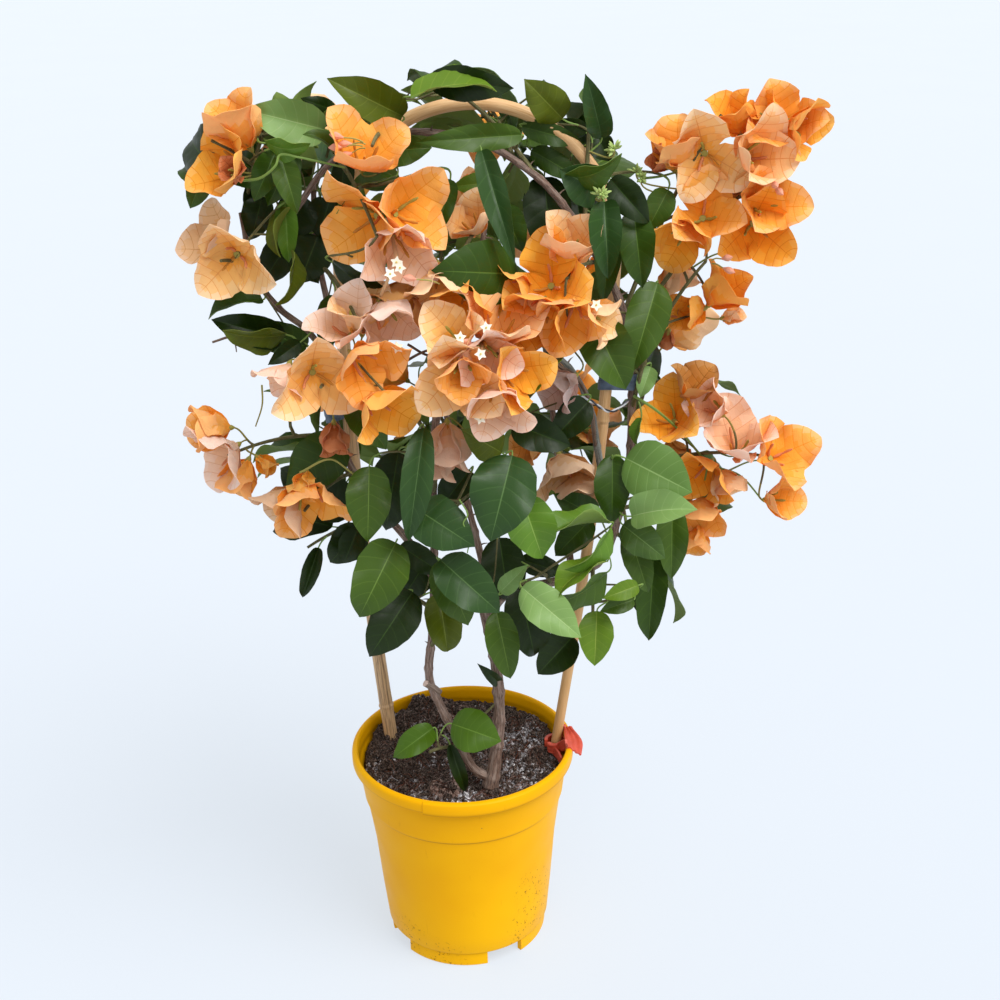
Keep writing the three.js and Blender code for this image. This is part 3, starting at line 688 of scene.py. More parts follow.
def fibreLine(draw):  # a hair of coir that lies along the mix
    reach, turn = 68 * draw() ** 0.5, 2 * math.pi * draw()
    x, y = reach * math.cos(turn), reach * math.sin(turn)
    way, curl, length = 2 * math.pi * draw(), 1.6 * draw() - 0.8, 6 + 11 * draw()
    hop = 0.6 + 2.2 * draw()
    line = []
    for step in np.linspace(0, 1, 6):
        px = x + length * step * math.cos(way + curl * step)
        py = y + length * step * math.sin(way + curl * step)
        if math.hypot(px, py) > mixture["fibreReach"]:
            break
        line.append((px, py, soilHeight(px, py) + hop * math.sin(math.pi * step) + 0.1))
    return line


def makeFibres():
    heap = Heap()
    for i in range(mixture["fibres"]):
        draw = chance(900 + i)
        line = fibreLine(draw)
        if len(line) > 3:
            addTube(heap, line, 0.13 + 0.14 * draw(), 3, finish=int(draw() * 3))
    heap.piece("soil_fibres", [
        soilFinish("coir_rust", "4A2A20", "6B4030", "8A5A44"),
        soilFinish("coir_dark", "2E1F1C", "4A342C", "5F463C"),
        soilFinish("coir_pale", "6A5550", "8A736A", "A08C84"),
    ], "potting_soil")


makeSoil()
makeFibres()
print("stage: potting mix")


# Cane hoop

cane = {
    "foot": 118,
    "soilTop": 143.6,
    "shoulder": 543,
    "legShare": 0.37,  # share of the length up to the shoulder
    "archRadius": 94,
    "archCentre": 13,
    "footCentre": -1,
    "footHalfWidth": 63.5,
    "leftRadius": 5.2,
    "rightRadius": 3.7,
    "nodes": [0.055, 0.16, 0.285, 0.43, 0.60, 0.735, 0.90],  # shares of the length that carry a ring
    "grain": 0.035,  # how far the pattern is drawn out along the cane
}


def onHoop(along, z):
    return vector(9 + 0.988 * along, 19 - 0.155 * along, z)


def hoopPoint(share):
    leg = cane["legShare"]
    if leg < share < 1 - leg:
        angle = math.pi * (1 - (share - leg) / (1 - 2 * leg))
        along = cane["archCentre"] + cane["archRadius"] * math.cos(angle)
        return onHoop(along, cane["shoulder"] + cane["archRadius"] * math.sin(angle))
    z = mix(cane["foot"], cane["shoulder"], min(share, 1 - share) / leg)
    height = (z - cane["soilTop"]) / (cane["shoulder"] - cane["soilTop"])
    spread = math.sin(math.pi / 2 * height)
    half = cane["footHalfWidth"] + (cane["archRadius"] - cane["footHalfWidth"]) * spread
    centre = mix(cane["footCentre"], cane["archCentre"], height)
    return onHoop(centre - half if share < 0.5 else centre + half, z)


def hoopPath(start, end, count=200):
    return Path([hoopPoint(share) for share in np.linspace(start, end, count)])


def caneFinish():
    wood = Finish("cane_skin", "DDB482", 0.48, Specular_IOR_Level=0.35)
    wood.useGrain(cane["grain"])
    streak = wood.range(wood.speckle(1.6, 4, 0.6), 0.35, 0.68)
    tone = wood.blend(streak, "E6BE8C", "D09E66")
    place = wood.add("ShaderNodeSeparateXYZ", {0: wood.place})
    left = wood.range(place.outputs["Z"], cane["grain"] * 470, cane["grain"] * 200)  # the weathered leg
    tone = wood.blend(wood.maths("MULTIPLY", left, 0.6), tone, "BFA27E")
    mottled = wood.range(wood.speckle(0.9, 5, 0.65), 0.47, 0.62)
    tone = wood.blend(wood.maths("MULTIPLY", left, mottled), tone, "86694C")
    right = wood.range(place.outputs["Z"], cane["grain"] * 800, cane["grain"] * 1000)
    tone = wood.blend(wood.maths("MULTIPLY", right, 0.55), tone, "C49358")
    wood.paint(tone)
    wood.gloss(wood.range(streak, 0, 1, 0.40, 0.58))
    wood.bump(wood.speckle(3.2, 4), 0.25, 0.0004)
    return wood.material


def makeCane():
    path = hoopPath(0, 1, 900)
    shares = np.unique(np.concatenate(
        [np.linspace(0, 1, 420)] + [node + np.linspace(-0.006, 0.006, 17) for node in cane["nodes"]]
    ))
    radii = mix(cane["leftRadius"], cane["rightRadius"], shares)
    for node in cane["nodes"]:
        away = (shares - node) * path.length
        radii = radii + 0.55 * np.exp(-(away / 1.1) ** 2) - 0.35 * np.exp(-((away - 2.4) / 0.7) ** 2)
        radii = radii + 0.25 * np.exp(-(away / 7) ** 2)
    heap = Heap()
    addTube(heap, path.at(shares), radii, 28)
    heap.piece("cane_hoop", [caneFinish()], "cane", [
        "cane_leg_left", "cane_arch_left", "cane_arch_right", "cane_leg_right",
    ], crease=60)
    return path


hoop = makeCane()


# Wood

bark = {
    "step": 1.1,
    "sides": 18,
    "ridge": 0.055,  # shares of the radius
    "lump": 0.09,
    "swell": 0.16,
    "scar": 0.12,
    "knotSpacing": (16, 14),  # at least, and up to this much more
    "flare": (1.9, 14),  # extra radius at the trunk's foot, and how fast it falls
}

limbKnots = {
    "trunk": [(20, -32, 143.95), (24.5, -31, 170), (28, -29.5, 206), (26.5, -27, 244), (18, -21, 292)],
    "stem_left": [
        (20, -32, 151), (8, -33, 160), (-3, -33, 186), (-15, -33, 216), (-22, -32, 238),
        (-18, -30.5, 280), (-15, -28, 331), (-13, -24, 390), (-10, -18, 434),
    ],
    "right_leader": [
        (21, -23, 282), (36, -14, 295), (60, -10, 299), (84, -6, 303), (106, -1, 314), (118, 1, 346),
        (125, 2, 378), (127, 2, 430), (125, 0, 478), (115, -6, 512), (97, -8, 546), (68, -6, 587),
        (29, -3, 614), (-6, -6, 623), (-40, -7, 622), (-72, -6, 604), (-96, -4, 574),
    ],
    "left_leader": [
        (-16, -28.5, 318), (-36, -14, 345), (-58, 0, 368), (-75, 11, 398), (-82, 16, 432),
        (-82, 15, 466), (-96, 12, 490), (-113, 11, 506), (-127, 10, 530), (-132, 9, 572),
    ],
    "bough_left_inner": [(-82, 15.5, 458), (-79, 8, 500), (-85, 10, 548), (-84, 14, 588)],
    "bough_grey": [
        (118, 1, 350), (108, -8, 368), (102, -11, 402), (96, -13, 436), (84, -14, 462), (62, -15, 484),
    ],
    "bough_middle": [(-10.5, -19, 424), (0, -10, 474), (22, -4, 528), (29, 2, 572)],
    "bough_back": [(26, -26.5, 250), (20, 8, 306), (6, 36, 368), (-6, 50, 440), (-4, 56, 490)],
    "bough_back_right": [(84, -6, 303), (82, 28, 340), (76, 46, 400), (70, 52, 462)],
}
limbRadii = {  # at the foot and at the tip
    "trunk": (4.6, 3.4), "stem_left": (3.3, 2.2), "right_leader": (3.3, 1.9), "left_leader": (2.7, 1.9),
    "bough_left_inner": (2.3, 1.8), "bough_grey": (2.6, 1.9), "bough_middle": (2.2, 1.8),
    "bough_back": (2.8, 1.9), "bough_back_right": (2.5, 1.9),
}
leaderParts = {  # parts of the two long leaders, as shares of their length
    "bough_right": ("right_leader", 0, 0.21),
    "bough_right_rise": ("right_leader", 0.21, 0.47),
    "bough_arch_right": ("right_leader", 0.47, 0.72),
    "bough_arch_left": ("right_leader", 0.72, 1),
    "bough_left": ("left_leader", 0, 0.52),
    "bough_left_upper": ("left_leader", 0.52, 1),
}
limbs = {name: smoothPath(knots) for name, knots in limbKnots.items()}
for name, (whole, start, end) in leaderParts.items():
    limbs[name] = Path(limbs[whole].at(np.linspace(start, end, 90)))


def barkFinish(name, ridge, furrow, pale):
    skin = Finish(name, ridge, 0.85, Specular_IOR_Level=0.25)
    skin.useGrain(0.12)
    furrows = skin.range(skin.speckle(1.9, 5, 0.65), 0.36, 0.62)
    tone = skin.blend(furrows, furrow, ridge)
    worn = skin.range(skin.speckle(0.5, 3), 0.45, 0.7)
    tone = skin.blend(skin.maths("MULTIPLY", worn, 0.6), tone, pale)
    lenticels = skin.range(skin.cells(0.62), 0.16, 0.08)
    tone = skin.blend(skin.maths("MULTIPLY", lenticels, 0.55), tone, pale)
    skin.paint(tone)
    skin.gloss(skin.range(furrows, 0, 1, 0.95, 0.74))
    skin.bump(skin.maths("ADD", furrows, skin.speckle(5, 3)), 0.55, 0.0007)
    return skin.material


def limbRadius(name, shares):
    low, high = limbRadii[name]
    radius = mix(low, high, shares)
    if name == "trunk":
        extra, fall = bark["flare"]
        radius = radius + extra * np.exp(-shares * fall)
    return radius


def makeLimb(heap, name, seed):
    path = limbs[name]
    count = int(path.length / bark["step"])
    shares = np.linspace(0, 1, count)
    radius = limbRadius(name, shares)[:, None]
    run = shares * path.length
    sides = bark["sides"]
    turns = circle(sides)
    relief = np.zeros((count, sides))
    for i, along in enumerate(run):
        for j, a in enumerate(turns):
            spot = Vector((math.cos(a) * 1.9 + seed, math.sin(a) * 1.9, along * 0.035))
            ridge = 1 - 2 * abs(noise.noise(spot * 1.5))
            lump = noise.noise(Vector((math.cos(a), math.sin(a), along * 0.09 + seed)))
            relief[i, j] = bark["ridge"] * ridge + bark["lump"] * lump
    draw = chance(40 + seed)
    knot = 9.0
    while knot < path.length - 6:  # swellings where leaves once stood
        swell = bark["swell"] * np.exp(-((run - knot) / 2.4) ** 2)
        scar = bark["scar"] * np.exp(-((run - knot) / 1.3) ** 2)
        side = np.cos(turns - 6.28 * draw())
        relief += swell[:, None] + scar[:, None] * np.clip(side, 0, 1)[None] ** 2
        knot += bark["knotSpacing"][0] + bark["knotSpacing"][1] * draw()
    addTube(heap, path.at(shares), radius * (1 + relief), sides)


limbPieces = {  # the limbs that each piece joins
    "trunk": ["trunk"],
    "stem_left": ["stem_left"],
    "right_leader": ["right_leader"],
    "left_leader": ["left_leader", "bough_left_inner"],
    "bough_grey": ["bough_grey"],
    "bough_middle": ["bough_middle"],
    "back_boughs": ["bough_back", "bough_back_right"],
}
barks = [
    barkFinish("bark_brown", "8D7263", "4C3B34", "B9A79B"),
    barkFinish("bark_grey", "7E8078", "4F514C", "A9AAA2"),
]


def nodesOf(limb):
    return [node for node, (whole, _, _) in leaderParts.items() if whole == limb] or [limb]


def makeWood():
    for seed, (name, parts) in enumerate(limbPieces.items()):
        heap = Heap()
        for part in parts:
            makeLimb(heap, part, seed + 1)
        finish = 1 if name == "bough_grey" else 0
        heap.finishes = [np.full(len(block), finish) for block in heap.faces]
        nodes = [node for part in parts for node in nodesOf(part)]
        heap.piece(name + "_bark", barks, "bark", nodes, crease=180)


makeWood()
print("stage: hoop and wood")


# Blades: leaves and bracts share one way of being made

def veinGrid(veins, stripe, slant, columns):  # a blade's grid, with narrow faces along its veins
    edges, raised, stripes = [0.0, 0.008, 0.026], [0.0, 0.2, 0.6], []
    last = 0.0
    for vein in veins:
        edges += [(last + vein) / 2, vein - stripe / 2, vein + stripe / 2]
        raised += [1.0, 0.0, 0.0]
        stripes.append(len(edges) - 2)
        last = vein
    edges += [mix(last, 1, 0.35), mix(last, 1, 0.7), 1.0]
    raised += [0.8, 0.4, 0.0]
    s = np.array(edges)[:, None]
    t = np.array(columns)[None]
    u = s + slant * np.abs(t) ** 1.25 * s ** 0.9 * (1 - s)
    rows, cols = len(edges), len(columns)
    up = gridFaces(rows, cols)[:, [0, 3, 2, 1]]
    count = rows * cols
    grid = np.arange(count).reshape(rows, cols)
    rim = np.concatenate([grid[:, 0], grid[-1, 1:], grid[:-1, -1][::-1], grid[0, 1:-1][::-1]])
    after = np.roll(rim, -1)
    edge = np.stack([after, rim, rim + count, after + count], axis=1)
    faces = np.concatenate([up, up[:, [0, 3, 2, 1]] + count, edge])
    rowOf, colOf = np.divmod(np.arange(len(up)), cols - 1)
    isMiddle = colOf == (cols - 1) // 2
    middleU = (u[:-1, :-1] + u[1:, 1:]).ravel() / 2
    middleT = np.abs(t[0, :-1] + t[0, 1:]) / 2
    return {
        "u": u, "t": np.broadcast_to(t, u.shape), "raised": np.array(raised)[:, None],
        "faces": faces, "blade": len(up), "rim": len(rim), "middle": isMiddle,
        "side": np.isin(rowOf, stripes) & ~isMiddle,
        "faceU": middleU, "faceT": middleT[colOf],
    }


leafGrid = veinGrid(
    [0.10, 0.22, 0.35, 0.49, 0.63, 0.77], 0.010, 0.62,
    [-1, -0.8, -0.5, -0.22, -0.022, 0.022, 0.22, 0.5, 0.8, 1],
)
bractGrid = veinGrid(
    [0.14, 0.30, 0.47, 0.64, 0.80], 0.010, 0.60,
    [-1, -0.8, -0.54, -0.26, -0.016, 0.016, 0.26, 0.54, 0.8, 1],
)


def readAt(shares, table):  # rows of a table between its first and last
    knots = np.linspace(0, 1, len(table))
    return np.stack([np.interp(shares, knots, table[:, i]) for i in range(3)], axis=-1)


def units(vectors):
    return vectors / np.linalg.norm(vectors, axis=-1, keepdims=True)


def addBlade(heap, spine, side, half, grid, form, finishes, phase):
    u, t = grid["u"], grid["t"]
    place, along = readAt(u, spine), units(readAt(u, headings(spine)))
    normal = units(np.cross(along, side))
    beside = np.cross(normal, along)
    turn = (form["twist"] * (u - 0.3))[..., None]
    beside, normal = (
        beside * np.cos(turn) + normal * np.sin(turn),
        normal * np.cos(turn) - beside * np.sin(turn),
    )
    reach = np.abs(t)
    wide = np.interp(u, np.linspace(0, 1, len(half)), half)
    wide = wide * (1 + form["ragged"] * np.sin(9 * u + phase) * np.sin(23 * u + 2 * phase))
    fold = form["fold"]
    lift = wide * reach * np.sin(fold) + form["cup"] * wide * t ** 2
    lift = lift + form["wave"] * wide * reach ** 2.2 * np.sin(10.5 * u + phase + 1.7 * np.sign(t))
    lift = lift + form["pucker"] * grid["raised"] * np.sin(math.pi * np.clip(reach, 0.03, 0.97)) * wide / 20
    across = wide * t * math.cos(fold)
    top = place + beside * across[..., None] + normal * lift[..., None]
    under = top - normal * form["thickness"]
    heap.add(np.concatenate([top.reshape(-1, 3), under.reshape(-1, 3)]), [grid["faces"]], finishes)


def bladeProxy(spine, side, half):  # a few flat faces that stand for the blade in clearance tests
    spots = [0, len(spine) // 3, 2 * len(spine) // 3, len(spine) - 1]
    wide = [np.interp(i / (len(spine) - 1), np.linspace(0, 1, len(half)), half) * 0.8 for i in spots]
    left = [spine[i] - side * w for i, w in zip(spots, wide)]
    right = [spine[i] + side * w for i, w in zip(spots, wide)]
    points = [spine[0], left[1], right[1], left[2], right[2], spine[-1]]
    return points, [(0, 1, 2), (1, 3, 4), (1, 4, 2), (3, 5, 4)]


# Leaf and bract colours: plain tints dealt out to whole leaves and blooms

leafTints = {  # top, midrib, underside
    "blue": ("2E4A1E", "5E7C44", "6A8650"),
    "deep": ("30490A", "5C7A2E", "667C34"),
    "mid": ("3F5814", "6E883A", "70863E"),
    "dark": ("1B2C04", "3E581E", "445C20"),
    "fresh": ("5A7E26", "8CA650", "829A48"),
    "pale": ("7E9E58", "AAC482", "A0B878"),
    "soft": ("5E7E3A", "94B06C", "829C58"),
    "olive": ("535E0A", "848E38", "788434"),
    "speckled": ("62801E", "A0AE4C", "8A9C40"),
    "dull": ("445E24", "7A9656", "728646"),
    "young": ("44620C", "6C8C34", "648030"),
}
bractTints = {  # from the heart to the rim, then the veins; the deeper heart is partly painted shade inside the bloom and the paler rim partly a painted highlight, over the bracts' own fading
    "golden": ("FFA82C", "FFB23E", "FFBE58", "FFCA80", "F09C22"),
    "orange": ("FFA41C", "FFB02C", "FFBC40", "FFCA66", "EA9414"),
    "deep": ("FC9814", "FDA420", "FEB234", "FFC056", "E48610"),
    "peach": ("FFBE50", "FFCC76", "FFD896", "FFE4B8", "EEAE60"),
    "salmon": ("FFB654", "FFC474", "FFD090", "FFDEB0", "EEA458"),
    "pink": ("FCC28A", "FCCEA2", "FDD8B8", "FDE2CE", "EAB088"),
    "pale": ("F8CE9C", "FAD8B6", "FBE0CA", "FBE8DA", "E6BC96"),
    "tan": ("E6B26A", "ECC084", "F0CC9C", "F2D6B4", "D09E60"),
    "brown": ("CA802A", "D48E38", "DC9C4C", "E2AC66", "AE6C20"),
    "rust": ("BA6024", "C66E34", "D07C46", "D88C5A", "9A4E1A"),
    "lilac": ("CAA090", "D2AEA2", "D8BCB2", "DEC8C2", "B48A7C"),
    "faded": ("EEB068", "F2C08A", "F4CCA4", "F6D6BC", "D8A064"),
    "dusk": ("D4A058", "DEB074", "E4BE90", "E8CAA8", "BA8850"),
}


def leafFinish(name, tint, through, glossLow=0.5, glossHigh=0.7):
    skin = Finish(name, tint, 0.5, Specular_IOR_Level=0.26)
    skin.mottledGloss(160, glossLow, glossHigh, 4)
    skin.bump(skin.speckle(900, 3, 0.6), 0.16, 0.0005)
    skin.glow(through, 0.16)
    return skin.material


def bractFinish(name, tint, through):
    paper = Finish(name, tint, 0.7, Specular_IOR_Level=0.25, Sheen_Weight=0.12, Sheen_Roughness=0.5)
    net = paper.range(paper.cells(330, "DISTANCE_TO_EDGE"), 0.0, 0.09)
    paper.mottledGloss(240, 0.6, 0.85)
    paper.bump(paper.maths("ADD", net, paper.speckle(420, 4)), 0.28, 0.0005)
    paper.glow(through, 0.34)
    return paper.material


def blended(a, b, share):
    parts = [mix(int(a[i:i + 2], 16), int(b[i:i + 2], 16), share) for i in (0, 2, 4)]
    return "%02X%02X%02X" % tuple(int(part) for part in parts)


leafFinishes, leafStart = [], {}
for name, (top, midrib, under) in leafTints.items():
    leafStart[name] = len(leafFinishes)
    through = blended(top, "A8D020", 0.5)
    leafFinishes += [
        leafFinish("leaf_" + name, top, through, 0.32, 0.5),
        leafFinish("leaf_midrib_" + name, blended(top, midrib, 0.75), through, 0.4, 0.55),
        leafFinish("leaf_vein_" + name, blended(top, midrib, 0.26), through, 0.36, 0.52),
        leafFinish("leaf_under_" + name, under, through, 0.55, 0.75),
    ]
bractFinishes, bractStart = [], {}
for name, tints in bractTints.items():
    bractStart[name] = len(bractFinishes)
    for part, tint in zip(("heart", "body", "shoulder", "rim", "vein"), tints):
        bractFinishes.append(bractFinish("bract_%s_%s" % (name, part), tint, blended(tint, "FFB050", 0.3)))

shareLine = np.linspace(0, 1, 60)
leaf = {  # ranges are the least, and how much more chance adds
    "thickness": 0.35,
    "outline": shareLine ** 0.44 * (1 - shareLine ** 1.6) ** 1.05 / 0.507,
    "arch": (0.06, 0.12),
    "droop": (0.04, 0.12),
    "fold": (0.08, 0.16),
    "cup": (0.15, -0.45),
    "wave": (0.08, 0.16),
    "twist": 0.9,
    "pucker": 0.7,
    "ragged": 0.03,
}
bloom = {
    "thickness": 0.25,
    "outline": shareLine ** 0.5 * (1 - shareLine ** 2) ** 0.85 / 0.556,
    "halfWidth": (0.40, 0.06),  # shares of the length
    "length": (0.92, 0.16),
    "open": (1.15, 0.3),  # how far the foot leans out, and the tip, as shares of the opening
    "close": (0.35, 0.4),
    "curl": (20, 50),
    "fold": 0.06,
    "cup": (0.22, 0.24),
    "wave": (0.11, 0.15),
    "twist": 0.9,
    "pucker": 1.3,
    "ragged": 0.045,
    "bands": [0.30, 0.58, 0.86],  # where body, shoulder and rim begin
}


def drawn(limits, draw):
    return limits[0] + limits[1] * draw()


def leafParts(tint):
    start = leafStart[tint]
    top = start + leafGrid["middle"] + 2 * leafGrid["side"]
    return np.concatenate([top, np.full(len(top) + leafGrid["rim"], start + 3)])


def bractParts(tint):
    start = bractStart[tint]
    # the bands deepen towards the heart partly as painted shade inside the bloom, and pale towards the rim
    # partly as a painted highlight
    depth = np.digitize(bractGrid["faceU"] * 0.9 + bractGrid["faceT"] * 0.35, bloom["bands"])
    top = np.where(bractGrid["middle"] | bractGrid["side"], start + 4, start + depth)
    under = start + np.clip(depth + 1, 0, 3)
    return np.concatenate([top, under, np.full(bractGrid["rim"], start + 3)])


def leafSpine(root, tip, face, arch, droop):
    span = tip - root
    length = float(np.linalg.norm(span))
    return bezier(
        root, root + span * 0.33 + face * arch * length * 1.2,
        root + span * 0.72 + face * (arch + droop) * length, tip, 16,
    )


def addLeaf(heap, root, tip, face, width, tint, draw, fold=0.2):
    along = unit(tip - root)
    face = squareTo(face, along)
    spine = leafSpine(root, tip, face, drawn(leaf["arch"], draw), drawn(leaf["droop"], draw))
    side = np.cross(face, along)
    form = dict(leaf)
    for key in ("fold", "cup", "wave"):
        form[key] = drawn(leaf[key], draw)
    form["fold"] += fold
    form["twist"] *= draw() - 0.5
    half = np.maximum(leaf["outline"] * width / 2, 0.25)
    half[0] = 0.6
    addBlade(heap, spine, side, half, leafGrid, form, leafParts(tint), 6.28 * draw())
    return bladeProxy(spine, side, half)


def bractSpine(root, heading, away, long, opening, draw):
    wide, close, curl = (drawn(bloom[key], draw) for key in ("open", "close", "curl"))
    steps = np.linspace(0, 1, 24)
    lean = mix(opening * wide, opening * close, steps ** 0.8) + curl * np.clip(steps - 0.7, 0, 1) / 0.3
    lean = np.radians(lean * np.clip(0.45 + steps * 4, 0, 1))
    walk = heading * np.cos(lean)[:, None] + away * np.sin(lean)[:, None]
    return root + away * 0.5 + np.cumsum(walk, axis=0) * long / len(steps)


def addFlowerTube(heap, spine, root, heading, long, finish):  # the slim flower along a bract
    knots = [spine[1] + heading * 0.8]
    for index, share, pull in ((6, 0.25, 0.35), (12, 0.5, 0.45)):
        knots.append(mix(spine[index], root + heading * long * share, pull))
    points = smoothPath(knots, 5).points
    swell = np.interp(np.linspace(0, 1, len(points)), [0, 0.25, 0.6, 0.85, 1], [0.8, 1.25, 0.8, 1.15, 0.5])
    addTube(heap, points, swell, 6, finish)


def addBloom(heaps, root, mouth, length, opening, twist, tint, draw):
    heading = unit(mouth - root)
    out = outFrom(heading, twist)
    proxies = []
    foot = np.array([root - heading * 1.5, root + heading * 0.5, root + heading * 3])
    addTube(heaps["tubes"], foot, [0.7, 1.9, 2.3], 8, finish=2)
    for petal in range(3):
        away = turned(out, heading, 120 * petal + 34 * (draw() - 0.5))
        long = length * drawn(bloom["length"], draw)
        spine = bractSpine(root, heading, away, long, opening, draw)
        side = np.cross(heading, away)
        form = dict(bloom)
        for key in ("cup", "wave"):
            form[key] = drawn(bloom[key], draw)
        form["twist"] *= draw() - 0.5
        half = np.maximum(bloom["outline"] * long * drawn(bloom["halfWidth"], draw), 0.2)
        half[:2] = 2.4, 3.2
        addBlade(heaps["bracts"], spine, side, half, bractGrid, form, bractParts(tint), 6.28 * draw())
        proxies.append(bladeProxy(spine, side, half))
        addFlowerTube(heaps["tubes"], spine, root, heading, long, finish=int(draw() * 2.99))
    return proxies


# Growth: the same rule as the solids follow, carried to finer twigs

crown = {"axis": vector(20, 5, 0), "low": vector(-172, -122, 168), "high": vector(253, 132, 667)}

# name, limb, share along it, tip of the stem, leaves and blooms that the rule adds
masses = [
    ("top_left", "bough_arch_left", 0.97, (-143, -18, 624), 4),
    ("left_shoulder", "bough_left_upper", 0.7, (-142, -34, 551), 9),
    ("top_left_leaves", "bough_left_upper", 0.97, (-106, 6, 640), 12),
    ("front_top_left", "bough_arch_left", 0.5, (-41, -54, 624), 10),
    ("front_upper_left", "bough_arch_left", 0.72, (-40, -78, 574), 8),
    ("front_left_middle", "bough_left_inner", 0.6, (-53, -74, 514), 8),
    ("front_left_low", "bough_left", 0.9, (-80, -84, 481), 6),
    ("front_left_inner", "stem_left", 0.93, (-40, -84, 476), 6),
    ("left_low_outer", "bough_left", 0.78, (-152, -22, 413), 0),
    ("left_low", "bough_left", 0.6, (-100, -52, 383), 7),
    ("middle_upper", "bough_middle", 0.95, (3, -72, 540), 8),
    ("middle_front", "bough_grey", 0.97, (30, -90, 500), 8),
    ("right_front", "bough_arch_right", 0.35, (76, -66, 540), 10),
    ("withered", "stem_left", 0.82, (-6, -56, 420), 8),
    ("right_high_outer", "bough_right_rise", 0.97, (210, -6, 588), 0),
    ("right_high", "bough_arch_right", 0.08, (182, -2, 628), 0),
    ("right_middle", "bough_right_rise", 0.75, (172, -18, 536), 1),
    ("right_low_outer", "bough_right_rise", 0.3, (216, -16, 396), 0),
    ("right_low", "bough_right_rise", 0.1, (176, -4, 352), 3),
    ("top_middle", "bough_arch_right", 0.85, (10, 2, 648), 10),
    ("top_right", "bough_arch_right", 0.5, (98, 6, 634), 10),
    ("right_leaves", "bough_right_rise", 0.6, (136, -34, 500), 11),
    ("middle_leaves", "stem_left", 0.68, (10, -76, 400), 9),
    ("front_low_left", "stem_left", 0.52, (-52, -70, 330), 6),
    ("front_low_middle", "stem_left", 0.42, (8, -74, 318), 6),
    ("front_low_right", "bough_right", 0.45, (56, -58, 330), 6),
    ("low_right", "bough_right", 0.72, (96, -38, 282), 4),
    ("right_low_leaves", "bough_right", 0.97, (146, -20, 312), 8),
    ("left_low_leaves", "bough_left", 0.35, (-104, -14, 338), 6),
    ("low_shoot", "stem_left", 0.12, (-24, -54, 190), 0),
    ("back_middle", "bough_back", 0.55, (-14, 96, 410), 12, 3),
    ("back_upper", "bough_back", 0.97, (0, 84, 548), 12, 4),
    ("back_right", "bough_back_right", 0.97, (92, 86, 510), 12, 4),
    ("back_right_low", "bough_back_right", 0.5, (88, 92, 380), 12, 3),
    ("back_left", "bough_left", 0.5, (-84, 74, 404), 12, 3),
    ("back_left_upper", "bough_left_inner", 0.95, (-74, 62, 600), 12, 3),
    ("back_top", "bough_arch_right", 0.97, (34, 56, 628), 10, 3),
    ("right_side", "bough_right_rise", 0.45, (152, 52, 452), 10, 3),
]
stemBends = {"right_leaves": (0.02, 0), "back_left": (0.1, 0.3)}  # lift and shift, shares of the length
plainBend = (0.14, 0)

